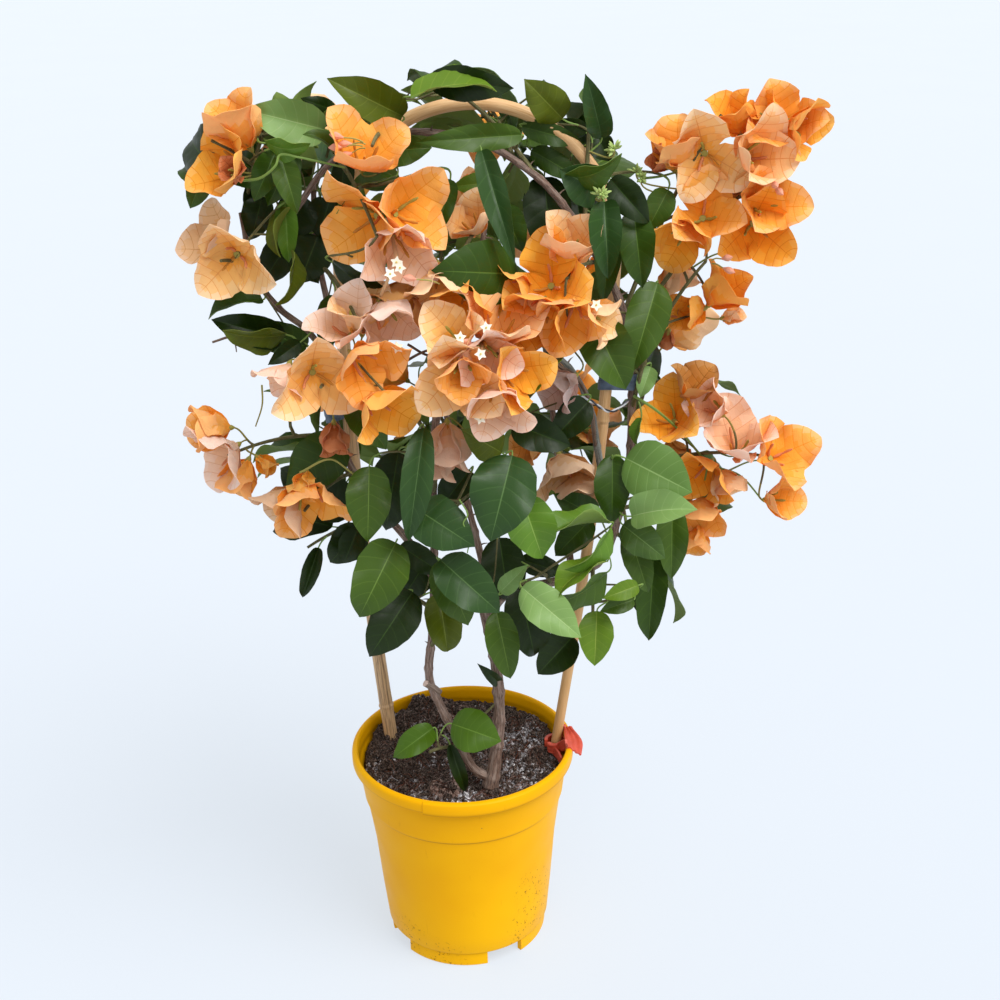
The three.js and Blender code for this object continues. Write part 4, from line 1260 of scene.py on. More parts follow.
# Leaves whose place counts for the habit: mass, root, tip, width, tint, fold, roll to the side
leafAims = [
    ("top_left_leaves", (-73, -2, 626), (-121, -10, 641), 29, "pale", 0.1),
    ("top_left_leaves", (-108, -28, 623), (-80, -34, 623), 18, "fresh", 0.1, 45),
    ("top_left_leaves", (-64, -28, 613), (-84, -36, 629), 17, "mid", 0.4, 59),
    ("top_left_leaves", (-104, -14, 615), (-119, -24, 586), 19, "deep"),
    ("top_left", (-100, -24, 615), (-91, -36, 580), 20, "mid", 0.3),
    ("top_left_leaves", (-92, -8, 613), (-112, -14, 581), 19, "deep"),
    ("left_shoulder", (-97, -18, 580), (-105, -26, 550), 20, "olive", 0.5, 73),
    ("left_shoulder", (-98, -20, 553), (-110, -32, 520), 23, "olive", 0.5, -64),
    ("left_shoulder", (-125, 12, 589), (-122, 6, 557), 14, "dark"),
    ("top_left", (-151, -4, 602), (-162, -10, 580), 17, "mid"),
    ("front_top_left", (-23, -2, 633), (-68, -20, 660), 28, "olive", 0.3),
    ("top_middle", (-23, 16, 640), (-55, 10, 647), 14, "dark", 0.1),
    ("top_left_leaves", (-66, 18, 634), (-88, 12, 644), 12, "dark", 0.1),
    ("front_top_left", (-35, -8, 612), (-5, -16, 615), 23, "mid", 0.25),
    ("front_top_left", (-29, -26, 599), (-66, -44, 581), 27, "mid", 0.4, 71),
    ("top_left_leaves", (-61, 4, 608), (-68, -4, 572), 16, "dark"),
    ("left_shoulder", (-98, 8, 549), (-84, 0, 525), 19, "dark", 0.1),
    ("front_upper_left", (-71, -36, 548), (-36, -46, 532), 25, "dark", 0.1, 56),
    ("left_shoulder", (-122, 0, 515), (-157, -14, 507), 23, "deep", 0.3, 55),
    ("left_low_outer", (-108, -8, 493), (-147, -24, 502), 27, "olive", 0.3, -50),
    ("front_left_middle", (-73, -6, 518), (-82, -14, 483), 21, "deep"),
    ("front_left_middle", (-98, -14, 489), (-119, -26, 478), 13, "dark"),
    ("left_low", (-72, -36, 427), (-112, -44, 397), 36, "deep", 0.1),
    ("front_left_middle", (-64, -58, 465), (-42, -70, 432), 25, "mid"),
    ("withered", (-54, -66, 419), (-57, -84, 373), 31, "mid", 0.15),
    ("withered", (-17, -78, 449), (-30, -92, 376), 27, "blue", 0.5),
    ("left_low", (-66, -44, 364), (-76, -52, 343), 20, "dark", 0.4),
    ("left_low", (-95, -28, 344), (-108, -36, 310), 18, "dark", 0.6),
    ("front_low_left", (-39, -76, 368), (-65, -94, 323), 37, "mid"),
    ("front_low_left", (-30, -62, 324), (-61, -80, 285), 34, "dark", 0.1),
    ("middle_leaves", (-26, -82, 396), (13, -98, 373), 36, "blue"),
    ("front_low_middle", (-10, -80, 356), (28, -96, 323), 33, "blue", 0.1),
    ("front_low_middle", (-10, -66, 349), (7, -80, 306), 30, "mid"),
    ("front_low_left", (-12, -44, 312), (-8, -54, 272), 31, "olive", 0.4),
    ("front_low_left", (-38, -36, 347), (-8, -42, 326), 19, "dark", 0.1),
    ("middle_leaves", (39, -84, 430), (23, -104, 379), 46, "blue", 0.15),
    ("middle_leaves", (46, -68, 392), (58, -80, 354), 35, "fresh"),
    ("middle_leaves", (33, -60, 423), (7, -70, 444), 24, "olive", 0.1),
    ("withered", (42, -48, 438), (79, -58, 425), 26, "dark"),
    ("withered", (92, -40, 449), (67, -50, 426), 25, "dark"),
    ("right_front", (73, -68, 493), (49, -82, 465), 24, "olive", 0.3, 55),
    ("right_leaves", (95, -50, 507), (114, -66, 466), 38, "mid", 0.3),
    ("right_leaves", (138, -34, 527), (119, -56, 474), 30, "mid"),
    ("right_leaves", (139, -2, 459), (131, -10, 440), 14, "pale"),
    ("right_leaves", (132, -10, 425), (129, -14, 406), 12, "fresh", 0.3, 52),
    ("middle_upper", (47, -50, 540), (-8, -68, 549), 42, "deep", 0.1),
    ("top_middle", (26, -32, 615), (44, -66, 551), 22, "blue", 0.5),
    ("top_middle", (52, -14, 621), (-15, -30, 621), 21, "mid", 0.5),
    ("top_middle", (-17, -16, 647), (37, -20, 649), 34, "speckled", 0.1, -66),
    ("top_middle", (-5, -4, 655), (48, -8, 649), 23, "dark"),
    ("top_right", (80, 6, 627), (55, -4, 654), 27, "olive"),
    ("top_right", (105, 2, 615), (93, -12, 657), 20, "blue", 0.4),
    ("top_right", (96, 16, 616), (77, 10, 626), 13, "dark"),
    ("top_right", (104, 14, 613), (111, 10, 598), 17, "dark"),
    ("top_right", (54, 10, 622), (93, 8, 611), 16, "deep"),
    ("top_right", (60, 14, 606), (93, 8, 587), 17, "deep"),
    ("right_front", (98, -34, 589), (74, -44, 604), 30, "blue"),
    ("right_front", (79, -40, 598), (112, -50, 614), 24, "mid", 0.3, 44),
    ("right_front", (102, -44, 583), (103, -60, 538), 26, "blue", 0.45),
    ("right_leaves", (110, -12, 560), (104, -24, 512), 19, "deep", 0.3),
    ("right_leaves", (108, -24, 593), (132, -34, 566), 24, "dark", 0.3),
    ("right_leaves", (123, -26, 572), (127, -42, 526), 25, "deep"),
    ("top_middle", (37, 14, 586), (7, 8, 585), 17, "speckled"),
    ("top_right", (69, 24, 586), (73, 14, 531), 34, "dark"),
    ("top_right", (90, 18, 576), (95, 10, 530), 24, "dark"),
    ("middle_upper", (40, 4, 573), (52, 0, 542), 21, "deep"),
    ("front_upper_left", (6, -24, 596), (-4, -34, 563), 15, "deep"),
    ("right_low_leaves", (117, -46, 410), (160, -62, 390), 42, "soft", 0.1),
    ("right_low_leaves", (119, -66, 376), (160, -84, 387), 29, "pale", 0.2, -18),
    ("right_low_leaves", (109, -38, 409), (108, -48, 363), 26, "deep"),
    ("right_low_leaves", (116, -42, 359), (144, -54, 338), 26, "dull"),
    ("right_low_leaves", (121, -34, 350), (134, -46, 308), 22, "mid", 0.3),
    ("right_low_leaves", (153, -24, 366), (152, -34, 312), 26, "mid", 0.3),
    ("right_low_leaves", (141, -22, 330), (137, -32, 262), 25, "deep", 0.3),
    ("front_low_right", (104, -60, 369), (56, -80, 363), 33, "fresh", 0.5, 66),
    ("front_low_right", (105, -66, 369), (72, -84, 347), 27, "fresh", 0.5, -60),
    ("front_low_right", (102, -70, 345), (66, -88, 326), 28, "speckled", 0.3, 58),
    ("front_low_right", (103, -64, 334), (56, -82, 319), 32, "mid", 0.3, -60),
    ("low_right", (125, -58, 320), (100, -66, 315), 14, "speckled"),
    ("low_right", (123, -52, 306), (99, -58, 301), 14, "mid"),
    ("front_low_right", (44, -78, 332), (82, -98, 303), 30, "pale", 0.3),
    ("front_low_middle", (27, -60, 305), (35, -76, 261), 26, "mid", 0.3),
    ("low_right", (98, -46, 295), (95, -60, 259), 27, "speckled", 0.3),
    ("low_right", (82, -34, 269), (56, -44, 245), 29, "dark"),
    ("front_low_right", (30, -56, 318), (49, -62, 341), 14, "pale"),
    ("front_low_right", (46, -16, 323), (78, -22, 314), 18, "dark"),
    ("front_low_right", (99, -26, 359), (69, -32, 380), 22, "deep"),
    ("low_shoot", (29, -28, 229), (13, -34, 250), 10, "dark", 0.3),
    ("low_right", (125, -20, 297), (139, -26, 278), 12, "dark", 0.3),
    ("low_shoot", (-21, -46, 205), (-50, -56, 188), 22, "young", 0.3),
    ("low_shoot", (-7, -46, 208), (28, -58, 199), 33, "young", 0.15),
    ("low_shoot", (-9, -44, 189), (1, -50, 152), 13, "dark", 0.4),
    ("left_shoulder", (-117, 5, 583), (-126, 0, 556), 22, "dark"),
    ("top_left_leaves", (-101, -10, 583), (-101, -16, 544), 17, "fresh", 0.3),
    ("left_shoulder", (-83, 8, 555), (-97, 2, 525), 30, "dark"),
    ("top_left_leaves", (-93, 12, 581), (-102, 6, 550), 30, "dark"),
    ("top_left_leaves", (-74, 14, 577), (-83, 8, 554), 26, "dark"),
    ("left_shoulder", (-100, 10, 555), (-122, 4, 525), 26, "dark"),
    ("left_shoulder", (-111, 0, 488), (-156, -8, 505), 24, "dark", 0.3),
    ("left_shoulder", (-96, 8, 479), (-139, 0, 499), 26, "deep", 0.3),
    ("withered", (-36, -30, 414), (-47, -36, 359), 34, "dark"),
    ("middle_leaves", (12, -20, 395), (-9, -26, 370), 26, "dark"),
    ("front_low_middle", (32, -10, 338), (37, -16, 291), 34, "dark"),
    ("front_low_right", (45, -30, 307), (54, -38, 257), 34, "dark"),
    ("front_low_right", (98, 0, 345), (72, -6, 320), 24, "deep"),
    ("front_low_left", (-19, -20, 329), (-39, -26, 300), 28, "dark"),
    ("top_right", (148, -5, 581), (134, -10, 556), 20, "mid"),
    ("left_low", (-63, -40, 363), (-86, -46, 341), 28, "dark"),
]

# Blooms: mass, foot, mouth, length of the bracts, opening, tint, twist
bloomAims = [
    ("top_left", (-126, -14, 603), (-146, -32, 615), 38, 50, "orange"),
    ("top_left", (-127, -22, 602), (-132, -38, 612), 20, 30, "rust", 40),
    ("top_left", (-119, -12, 616), (-131, -18, 641), 42, 24, "golden"),
    ("left_shoulder", (-133, -18, 552), (-138, -46, 547), 40, 62, "peach", 10),
    ("left_shoulder", (-139, -8, 553), (-151, -14, 562), 34, 50, "tan", 30),
    ("front_top_left", (-49, -40, 606), (-43, -52, 630), 42, 52, "golden", 30),
    ("front_upper_left", (-39, -50, 581), (-60, -72, 574), 42, 58, "golden", 20),
    ("front_upper_left", (-31, -46, 580), (-10, -66, 589), 40, 55, "golden", 80),
    ("front_upper_left", (-32, -52, 570), (-26, -74, 557), 40, 50, "pink"),
    ("front_upper_left", (-19, -38, 535), (-28, -46, 521), 38, 46, "brown"),
    ("front_upper_left", (-4, -48, 549), (-4, -60, 534), 36, 42, "peach", 60),
    ("front_left_middle", (-60, -60, 505), (-69, -72, 528), 36, 50, "pale"),
    ("front_left_middle", (-54, -56, 505), (-52, -62, 531), 36, 38, "peach", 40),
    ("front_left_middle", (-42, -60, 529), (-33, -76, 514), 38, 46, "pale", 20),
    ("front_left_low", (-87, -66, 486), (-77, -96, 484), 40, 60, "peach", 10),
    ("front_left_inner", (-61, -76, 501), (-47, -94, 493), 38, 50, "golden", 50),
    ("front_left_inner", (-53, -74, 473), (-39, -90, 463), 40, 46, "orange"),
    ("front_left_low", (-101, -56, 489), (-108, -66, 474), 32, 50, "pink", 30),
    ("left_low_outer", (-148, -16, 431), (-168, -24, 434), 37, 38, "golden"),
    ("left_low_outer", (-144, -18, 420), (-162, -34, 412), 42, 50, "pale", 30),
    ("left_low_outer", (-138, -20, 410), (-147, -26, 394), 32, 36, "golden"),
    ("left_low_outer", (-133, -20, 411), (-125, -24, 404), 16, 18, "orange"),
    ("left_low", (-98, -46, 403), (-96, -68, 385), 42, 48, "golden", 30),
    ("left_low", (-103, -38, 395), (-114, -44, 384), 38, 42, "tan"),
    ("left_low", (-97, -46, 410), (-100, -58, 399), 24, 24, "orange"),
    ("middle_front", (9, -82, 492), (6, -108, 486), 42, 62, "peach"),
    ("middle_front", (9, -88, 496), (9, -106, 490), 30, 40, "golden", 60),
    ("middle_front", (30, -80, 477), (30, -98, 464), 40, 44, "pink", 20),
    ("middle_upper", (30, -74, 501), (35, -84, 527), 42, 46, "salmon"),
    ("middle_front", (22, -84, 507), (26, -102, 499), 30, 50, "pink"),
    ("middle_front", (36, -78, 485), (49, -98, 487), 34, 52, "orange", 30),
    ("middle_upper", (9, -76, 503), (2, -90, 518), 34, 50, "peach", 50),
    ("middle_upper", (23, -18, 558), (15, -26, 575), 30, 40, "salmon"),
    ("middle_upper", (16, -54, 540), (9, -66, 528), 36, 40, "orange", 30),
    ("front_upper_left", (-6, -36, 518), (0, -40, 505), 30, 40, "brown"),
    ("right_front", (68, -54, 532), (57, -80, 549), 40, 60, "orange"),
    ("right_front", (77, -48, 545), (79, -56, 562), 36, 34, "salmon", 30),
    ("right_front", (63, -60, 527), (55, -76, 517), 38, 46, "deep", 10),
    ("right_front", (81, -66, 525), (74, -86, 516), 36, 52, "golden", 40),
    ("right_front", (84, -62, 520), (97, -70, 515), 32, 30, "peach"),
    ("right_front", (55, -50, 533), (42, -60, 531), 30, 40, "orange", 30),
    ("right_high", (154, 2, 592), (150, -6, 615), 38, 34, "golden", 20),
    ("right_high", (149, 2, 594), (140, -4, 602), 18, 26, "rust"),
    ("right_high", (172, 0, 604), (168, -26, 601), 38, 62, "peach", 20),
    ("right_high", (197, 6, 612), (189, 0, 633), 34, 28, "deep"),
    ("right_high_outer", (224, 6, 616), (219, -16, 631), 35, 56, "golden", 30),
    ("right_high_outer", (216, 4, 621), (207, -4, 634), 22, 32, "deep"),
    ("right_high_outer", (226, 2, 622), (236, -8, 619), 32, 46, "orange", 30),
    ("right_high", (194, -4, 599), (208, -26, 607), 43, 42, "salmon"),
    ("right_high_outer", (205, -4, 568), (212, -22, 575), 37, 50, "golden", 30),
    ("right_high_outer", (205, -2, 557), (205, -26, 556), 36, 60, "deep"),
    ("right_high", (203, 6, 572), (195, 2, 586), 34, 40, "brown", 30),
    ("right_middle", (171, -6, 561), (168, -32, 576), 36, 60, "golden", 10),
    ("right_middle", (164, -4, 558), (155, -16, 550), 34, 50, "orange", 40),
    ("right_middle", (178, 4, 499), (189, -4, 515), 38, 34, "deep"),
    ("right_middle", (177, 4, 498), (165, -2, 498), 28, 30, "deep", 40),
    ("right_middle", (188, 4, 490), (196, 0, 493), 16, 16, "salmon"),
    ("right_middle", (153, 20, 528), (159, 16, 515), 28, 36, "salmon"),
    ("right_middle", (154, 18, 479), (151, 16, 466), 14, 18, "rust"),
    ("right_middle", (157, 14, 503), (155, 10, 493), 18, 22, "rust"),
    ("right_low_outer", (158, 2, 416), (144, -14, 432), 38, 56, "orange"),
    ("right_low_outer", (164, 4, 430), (168, 0, 443), 32, 40, "brown", 30),
    ("right_low_outer", (199, -8, 393), (197, -24, 426), 46, 44, "pink", 20),
    ("right_low_outer", (190, -6, 423), (180, -12, 431), 30, 40, "pink"),
    ("right_low_outer", (221, -14, 392), (231, -28, 404), 38, 52, "golden", 30),
    ("right_low_outer", (218, -20, 364), (229, -30, 368), 30, 40, "golden"),
    ("right_low", (183, -6, 390), (173, -18, 383), 38, 50, "deep"),
    ("right_low", (187, -10, 384), (193, -18, 372), 28, 40, "salmon", 30),
    ("right_low", (178, -2, 361), (175, -14, 348), 34, 46, "golden"),
    ("right_low", (177, -2, 339), (172, -10, 326), 26, 34, "golden", 40),
    ("right_low", (157, 22, 397), (161, 18, 384), 26, 36, "brown"),
    ("withered", (-2, -52, 444), (-2, -62, 423), 36, 26, "faded"),
    ("withered", (-7, -48, 434), (-9, -54, 410), 34, 22, "faded", 40),
    ("front_low_right", (74, -16, 404), (78, -30, 392), 40, 50, "dusk"),
    ("front_low_right", (85, -14, 390), (88, -24, 379), 34, 44, "dusk", 30),
    ("front_low_right", (65, -14, 412), (56, -20, 413), 28, 36, "brown"),
    ("right_front", (85, -36, 467), (69, -46, 460), 34, 34, "lilac"),
    ("front_left_low", (-76, -54, 447), (-76, -62, 433), 24, 22, "rust"),
]


def outward(place):
    return unit((place - crown["axis"]) * vector(1, 1, 0))


placed = []  # box and tree of every shape that later shapes stay clear of


def keep(points, faces):
    points = np.asarray(points)
    tree = BVHTree.FromPolygons([Vector(p) for p in points], [tuple(map(int, f)) for f in faces])
    placed.append((points.min(axis=0) - 1, points.max(axis=0) + 1, tree))


def isClear(points, faces):
    points = np.asarray(points)
    low, high = points.min(axis=0), points.max(axis=0)
    if (low < crown["low"]).any() or (high > crown["high"]).any():
        return False
    tree = None
    for otherLow, otherHigh, other in placed:
        if (low > otherHigh).any() or (high < otherLow).any():
            continue
        tree = tree or BVHTree.FromPolygons([Vector(p) for p in points], faces)
        if tree.overlap(other):
            return False
    return True


for name in limbKnots:
    line = limbs[name].at(np.linspace(0, 1, 24))
    corners, faces, _ = sweep(line, limbRadius(name, np.linspace(0, 1, 24)) + 0.6, 5)
    keep(corners.reshape(-1, 3), faces[0])
corners, faces, _ = sweep(hoop.at(np.linspace(0, 1, 60)), 5.2, 6)
keep(corners.reshape(-1, 3), faces[0])

twigRadii = (1.7, 1.05)  # of a stem, at its foot and at its tip
heaps = {name: Heap() for name in ("frontLeaves", "backLeaves", "bracts", "backBracts", "tubes", "twigs")}


class Stem:  # a mass's stem and twigs, and the places where they can carry something
    def __init__(self, name, limb, share, tip):
        lift, shift = stemBends.get(name, plainBend)
        start, tip = limbs[limb].at(share), vector(*tip)
        length = float(np.linalg.norm(tip - start))
        beside = unit(np.cross(upward, tip - start))
        bend = (start + tip) / 2 + upward * lift * length + beside * shift * length
        t = np.linspace(0, 1, 26)[:, None]
        self.path = Path(start * (1 - t) ** 2 + bend * 2 * t * (1 - t) + tip * t ** 2)
        self.points = list(self.path.points[4:])
        self.heads = [self.path.heading(i / 25) for i in range(4, 26)]
        self.sizes = list(np.linspace(*twigRadii, 22))

    def nearest(self, place, reach=0.8):
        apart = [float(np.linalg.norm(place - p)) + reach * max(0.0, p[2] - place[2]) for p in self.points]
        return int(np.argmin(apart))

    def branch(self, end, arrive, stalk, finish, thin=0.55):
        i = self.nearest(end - arrive * min(stalk, 14))
        start, head = self.points[i], self.heads[i]
        span = float(np.linalg.norm(end - start))
        leave = unit(unit(end - start) + head * 0.6)
        path = Path(bezier(start, start + leave * span * 0.36, end - arrive * span * 0.34, end, 12))
        size = min(self.sizes[i] * 0.85, mix(0.75, 1.3, min(span / 70, 1)))
        green = 1 - min(stalk / max(span, 1), 1)  # share of the twig where the green stalk begins
        marks = np.linspace(0, 1, 12)
        radii = np.interp(marks, [0, green, 1], [size, mix(size, thin, 0.5), thin])
        if green > 0.12:
            wood = np.linspace(0, green, 9)
            addTube(heaps["twigs"], path.at(wood), np.interp(wood, marks, radii), 6, 1)
            self.points += list(path.at(wood[2:]))
            self.heads += [path.heading(share) for share in wood[2:]]
            self.sizes += list(np.interp(wood[2:], marks, radii))
        shoot = np.linspace(max(green - 0.02, 0), 1, 9)
        addTube(heaps["twigs"], path.at(shoot), np.interp(shoot, marks, radii), 6, finish)


skyGaps = [  # openings: middle (x, z) on the plane y = 0 as the camera sees it, and radius
    ((-121, 423), 14), ((0, 231), 14), ((-39, 231), 14), ((66, 208), 12), ((-148, 578), 13), ((-97, 520), 12),
    ((125, 616), 14), ((207, 359), 10), ((15, 600), 8), ((160, 461), 11), ((88, 649), 7), ((143, 581), 9),
    ((166, 512), 9), ((166, 400), 6), ((211, 521), 9), ((52, 644), 7), ((167, 630), 12), ((-144, 495), 5),
    ((-96, 313), 9), ((-160, 640), 14), ((-134, 652), 9), ((-2, 594), 6), ((26, 602), 7), ((-13, 478), 7),
    ((182, 542), 7), ((80, 318), 6), ((-17, 489), 6), ((122, 300), 6),
]
crownOutline = [  # where the crown ends, on the same plane
    (-178, 616), (-136, 656), (-110, 652), (-68, 660), (-24, 654), (8, 668), (48, 650), (86, 650),
    (98, 656), (118, 624), (136, 600), (162, 632), (186, 648), (234, 648), (256, 618), (240, 560),
    (222, 530), (206, 496), (168, 486), (152, 468), (176, 454), (218, 448), (260, 400), (252, 340),
    (222, 356), (184, 316), (172, 296), (154, 240), (106, 226), (76, 218), (30, 214), (-14, 242), (-76, 244),
    (-114, 292), (-136, 354), (-190, 378), (-186, 436), (-136, 446), (-160, 490), (-178, 558),
]


def isInside(x, z, outline):
    inside = False
    for (x1, z1), (x2, z2) in zip(outline, outline[1:] + outline[:1]):
        if (z1 > z) != (z2 > z) and x < x1 + (x2 - x1) * (z - z1) / (z2 - z1):
            inside = not inside
    return inside


def hidesSky(points):
    points = np.asarray(points)
    between = [mix(a, b, 0.5) for i, a in enumerate(points) for b in points[i + 1:i + 3]]
    for point in list(points) + between:
        onPlane = eye + (point - eye) * (-eye[1] / (point[1] - eye[1]))
        if not isInside(onPlane[0], onPlane[2], crownOutline):
            return True
        for (x, z), radius in skyGaps:
            if math.hypot(onPlane[0] - x, onPlane[2] - z) < radius:
                return True
    return False


growth = {
    "tries": 9,
    "leafLength": 56,
    "leafSize": (0.8, 0.38),
    "hang": (0.25, 0.6),
    "petiole": (7, 5),
    "leafWidth": (0.6, 0.1),  # shares of the length
    "trussTries": 8,
    "bloomLength": 37,
    "bloomSize": (0.86, 0.28),
    "bloomOpening": 52,
    "bloomTop": 618,  # no bloom by rule stands higher
    "frontLimit": -12,  # how far forward the leaves behind the front ones may come
}
backTints = ["mid", "deep", "fresh", "blue", "mid", "olive"]
darkTints = ["deep", "dark", "mid", "deep"]
flowerTints = ["golden", "orange", "peach", "salmon", "peach", "pink"]


def growLeaf(stem, place, heading, seed, angle, tints, frontLimit):
    draw = chance(seed)
    size, hang = drawn(growth["leafSize"], draw), drawn(growth["hang"], draw)
    tint = tints[int(draw() * len(tints))]
    for attempt in range(growth["tries"]):
        turn = angle + 47 * attempt * (1 if attempt % 2 else -1)
        along = unit(outFrom(heading, turn) + heading * 0.45 + outward(place) * 0.35 - upward * hang)
        face = squareTo(outward(place) + upward * 0.75, along)
        length = growth["leafLength"] * size * (1 if attempt < 5 else 0.8)
        root = place + along * (growth["petiole"][0] + growth["petiole"][1] * size)
        tip = root + along * length
        spine = leafSpine(root, tip, face, 0.07, 0.04)
        points, faces = bladeProxy(spine, np.cross(face, along), leaf["outline"] * length * 0.33)
        if min(p[1] for p in points) < frontLimit or hidesSky(points) or not isClear(points, faces):
            continue
        addLeaf(heaps["backLeaves"], root, tip, face, length * drawn(growth["leafWidth"], draw), tint, draw)
        keep(points, faces)
        stem.branch(root, along, 12, 2)
        return True
    return False


def growTruss(stem, seed, blooms=0):
    tip = stem.path.at(1.0)
    away = unit(outward(tip) * 0.6 + stem.path.heading(1) + upward * 0.25)
    group = {"bracts": heaps["backBracts"], "tubes": heaps["tubes"]}
    for i in range(blooms):
        draw = chance(seed * 100 + i)
        place = stem.path.at(1 - 0.06 * i)
        stalk = (8 if i == 0 else 17) + 8 * draw()
        size, twist = drawn(growth["bloomSize"], draw), 360 * draw()
        tint = flowerTints[int(draw() * len(flowerTints))]
        for attempt in range(growth["trussTries"]):
            turn = goldenAngle * i + 40 * seed + 51 * attempt
            spread = 0.1 * attempt if i == 0 else 1.1 + 0.15 * attempt
            heading = unit(away + outFrom(away, turn) * spread)
            root = place + heading * stalk
            reach = heading * 24 * size
            box = np.array([root, root + reach, root + reach * 0.6 + outFrom(heading, twist) * 20])
            if (box.max(axis=0) + 9 > crown["high"]).any() or (box.min(axis=0) - 9 < crown["low"]).any():
                continue
            if root[2] > growth["bloomTop"] or hidesSky(box) or not isClear(box, [(0, 1, 2)]):
                continue
            length, opening = growth["bloomLength"] * size, growth["bloomOpening"]
            for points, faces in addBloom(group, root, root + reach, length, opening, twist, tint, draw):
                keep(points, faces)
            stem.branch(root, heading, 12, 3, 0.6)
            break


def placeLeaf(seed, name, root, tip, width, tint, fold=0.2, roll=0):
    root, tip = vector(*root), vector(*tip)
    along = unit(tip - root)
    face = turned(squareTo(eye - (root + tip) / 2, along), along, roll)
    if face[2] < -0.3 and roll == 0:
        face = squareTo(face + upward * 0.4, along)
    keep(*addLeaf(heaps["frontLeaves"], root, tip, face, width, tint, chance(seed), fold))
    stems[name].branch(root, along, 11, 2)


def placeBloom(seed, name, root, mouth, length, opening, tint, twist=0):
    root, mouth = vector(*root), vector(*mouth)
    for points, faces in addBloom(heaps, root, mouth, length, opening, twist, tint, chance(seed)):
        keep(points, faces)
    stems[name].branch(root, unit(mouth - root), 13, 3, 0.6)


def growLeaves():
    grown = 0
    for turn in range(max(row[4] for row in masses)):
        for seed, (name, _, _, _, leaves, *blooms) in enumerate(masses, 1):
            if turn >= leaves:
                continue
            path = stems[name].path
            stretch = mix(0.15, 0.8 if blooms else 1, (turn + 0.5) / leaves)
            place, heading = path.at(stretch), path.heading(stretch)
            angle = goldenAngle * turn
            if turn % 2:  # a finer twig carries this one further out
                aside = unit(outFrom(heading, angle + 29 * seed) + heading * 0.5)
                place = place + aside * (16 + 7 * (turn % 5))
            behind = name.startswith(("back", "right_side"))
            tints, frontLimit = (backTints, -200) if behind else (darkTints, growth["frontLimit"])
            turnedBy = angle + 83 * seed
            grown += growLeaf(stems[name], place, heading, seed * 1000 + turn, turnedBy, tints, frontLimit)
    print("leaves grown by rule:", grown)


stems = {}
for name, limb, share, tip, *_ in masses:
    stems[name] = Stem(name, limb, share, tip)
    addTube(heaps["twigs"], stems[name].path.points, np.linspace(*twigRadii, 26), 8, 1)
for seed, row in enumerate(leafAims, 5000):
    placeLeaf(seed, *row)
for seed, row in enumerate(bloomAims, 7000):
    placeBloom(seed, *row)
for seed, (name, _, _, _, _, *blooms) in enumerate(masses, 1):
    growTruss(stems[name], seed, *blooms)
growLeaves()

foliageNodes = ["foliage_" + row[0] for row in masses]
twigFinishes = [
    barkFinish("twig_bark", "7A6250", "4A3A32", "9C8A7C"),
    barkFinish("twig_shoot", "6E6A42", "4E4A30", "8E8A62"),
    leafFinish("petiole", "7E9A4C", "9AB84C"),
    leafFinish("flower_stalk", "97904A", "B0A850"),
]
tubeFinishes = [
    leafFinish("flower_tube_rose", "D98E62", "E8A070"),
    leafFinish("flower_tube_amber", "C98A3A", "E0A050"),
    leafFinish("flower_tube_green", "A9A04E", "C0B860"),
]
heaps["frontLeaves"].piece("leaves_front", leafFinishes, "leaf", foliageNodes, crease=50)
heaps["backLeaves"].piece("leaves_back", leafFinishes, "leaf", foliageNodes, crease=50)
heaps["bracts"].piece("bracts_front", bractFinishes, "bract", foliageNodes, crease=50)
heaps["backBracts"].piece("bracts_back", bractFinishes, "bract", foliageNodes, crease=50)
heaps["tubes"].piece("flower_tubes", tubeFinishes, "bract", crease=60)
heaps["twigs"].piece("twigs", twigFinishes, "bark", foliageNodes, crease=60)
print("stage: foliage")

# Small things: bare twigs, open flowers, buds, thorns and a twisted wire

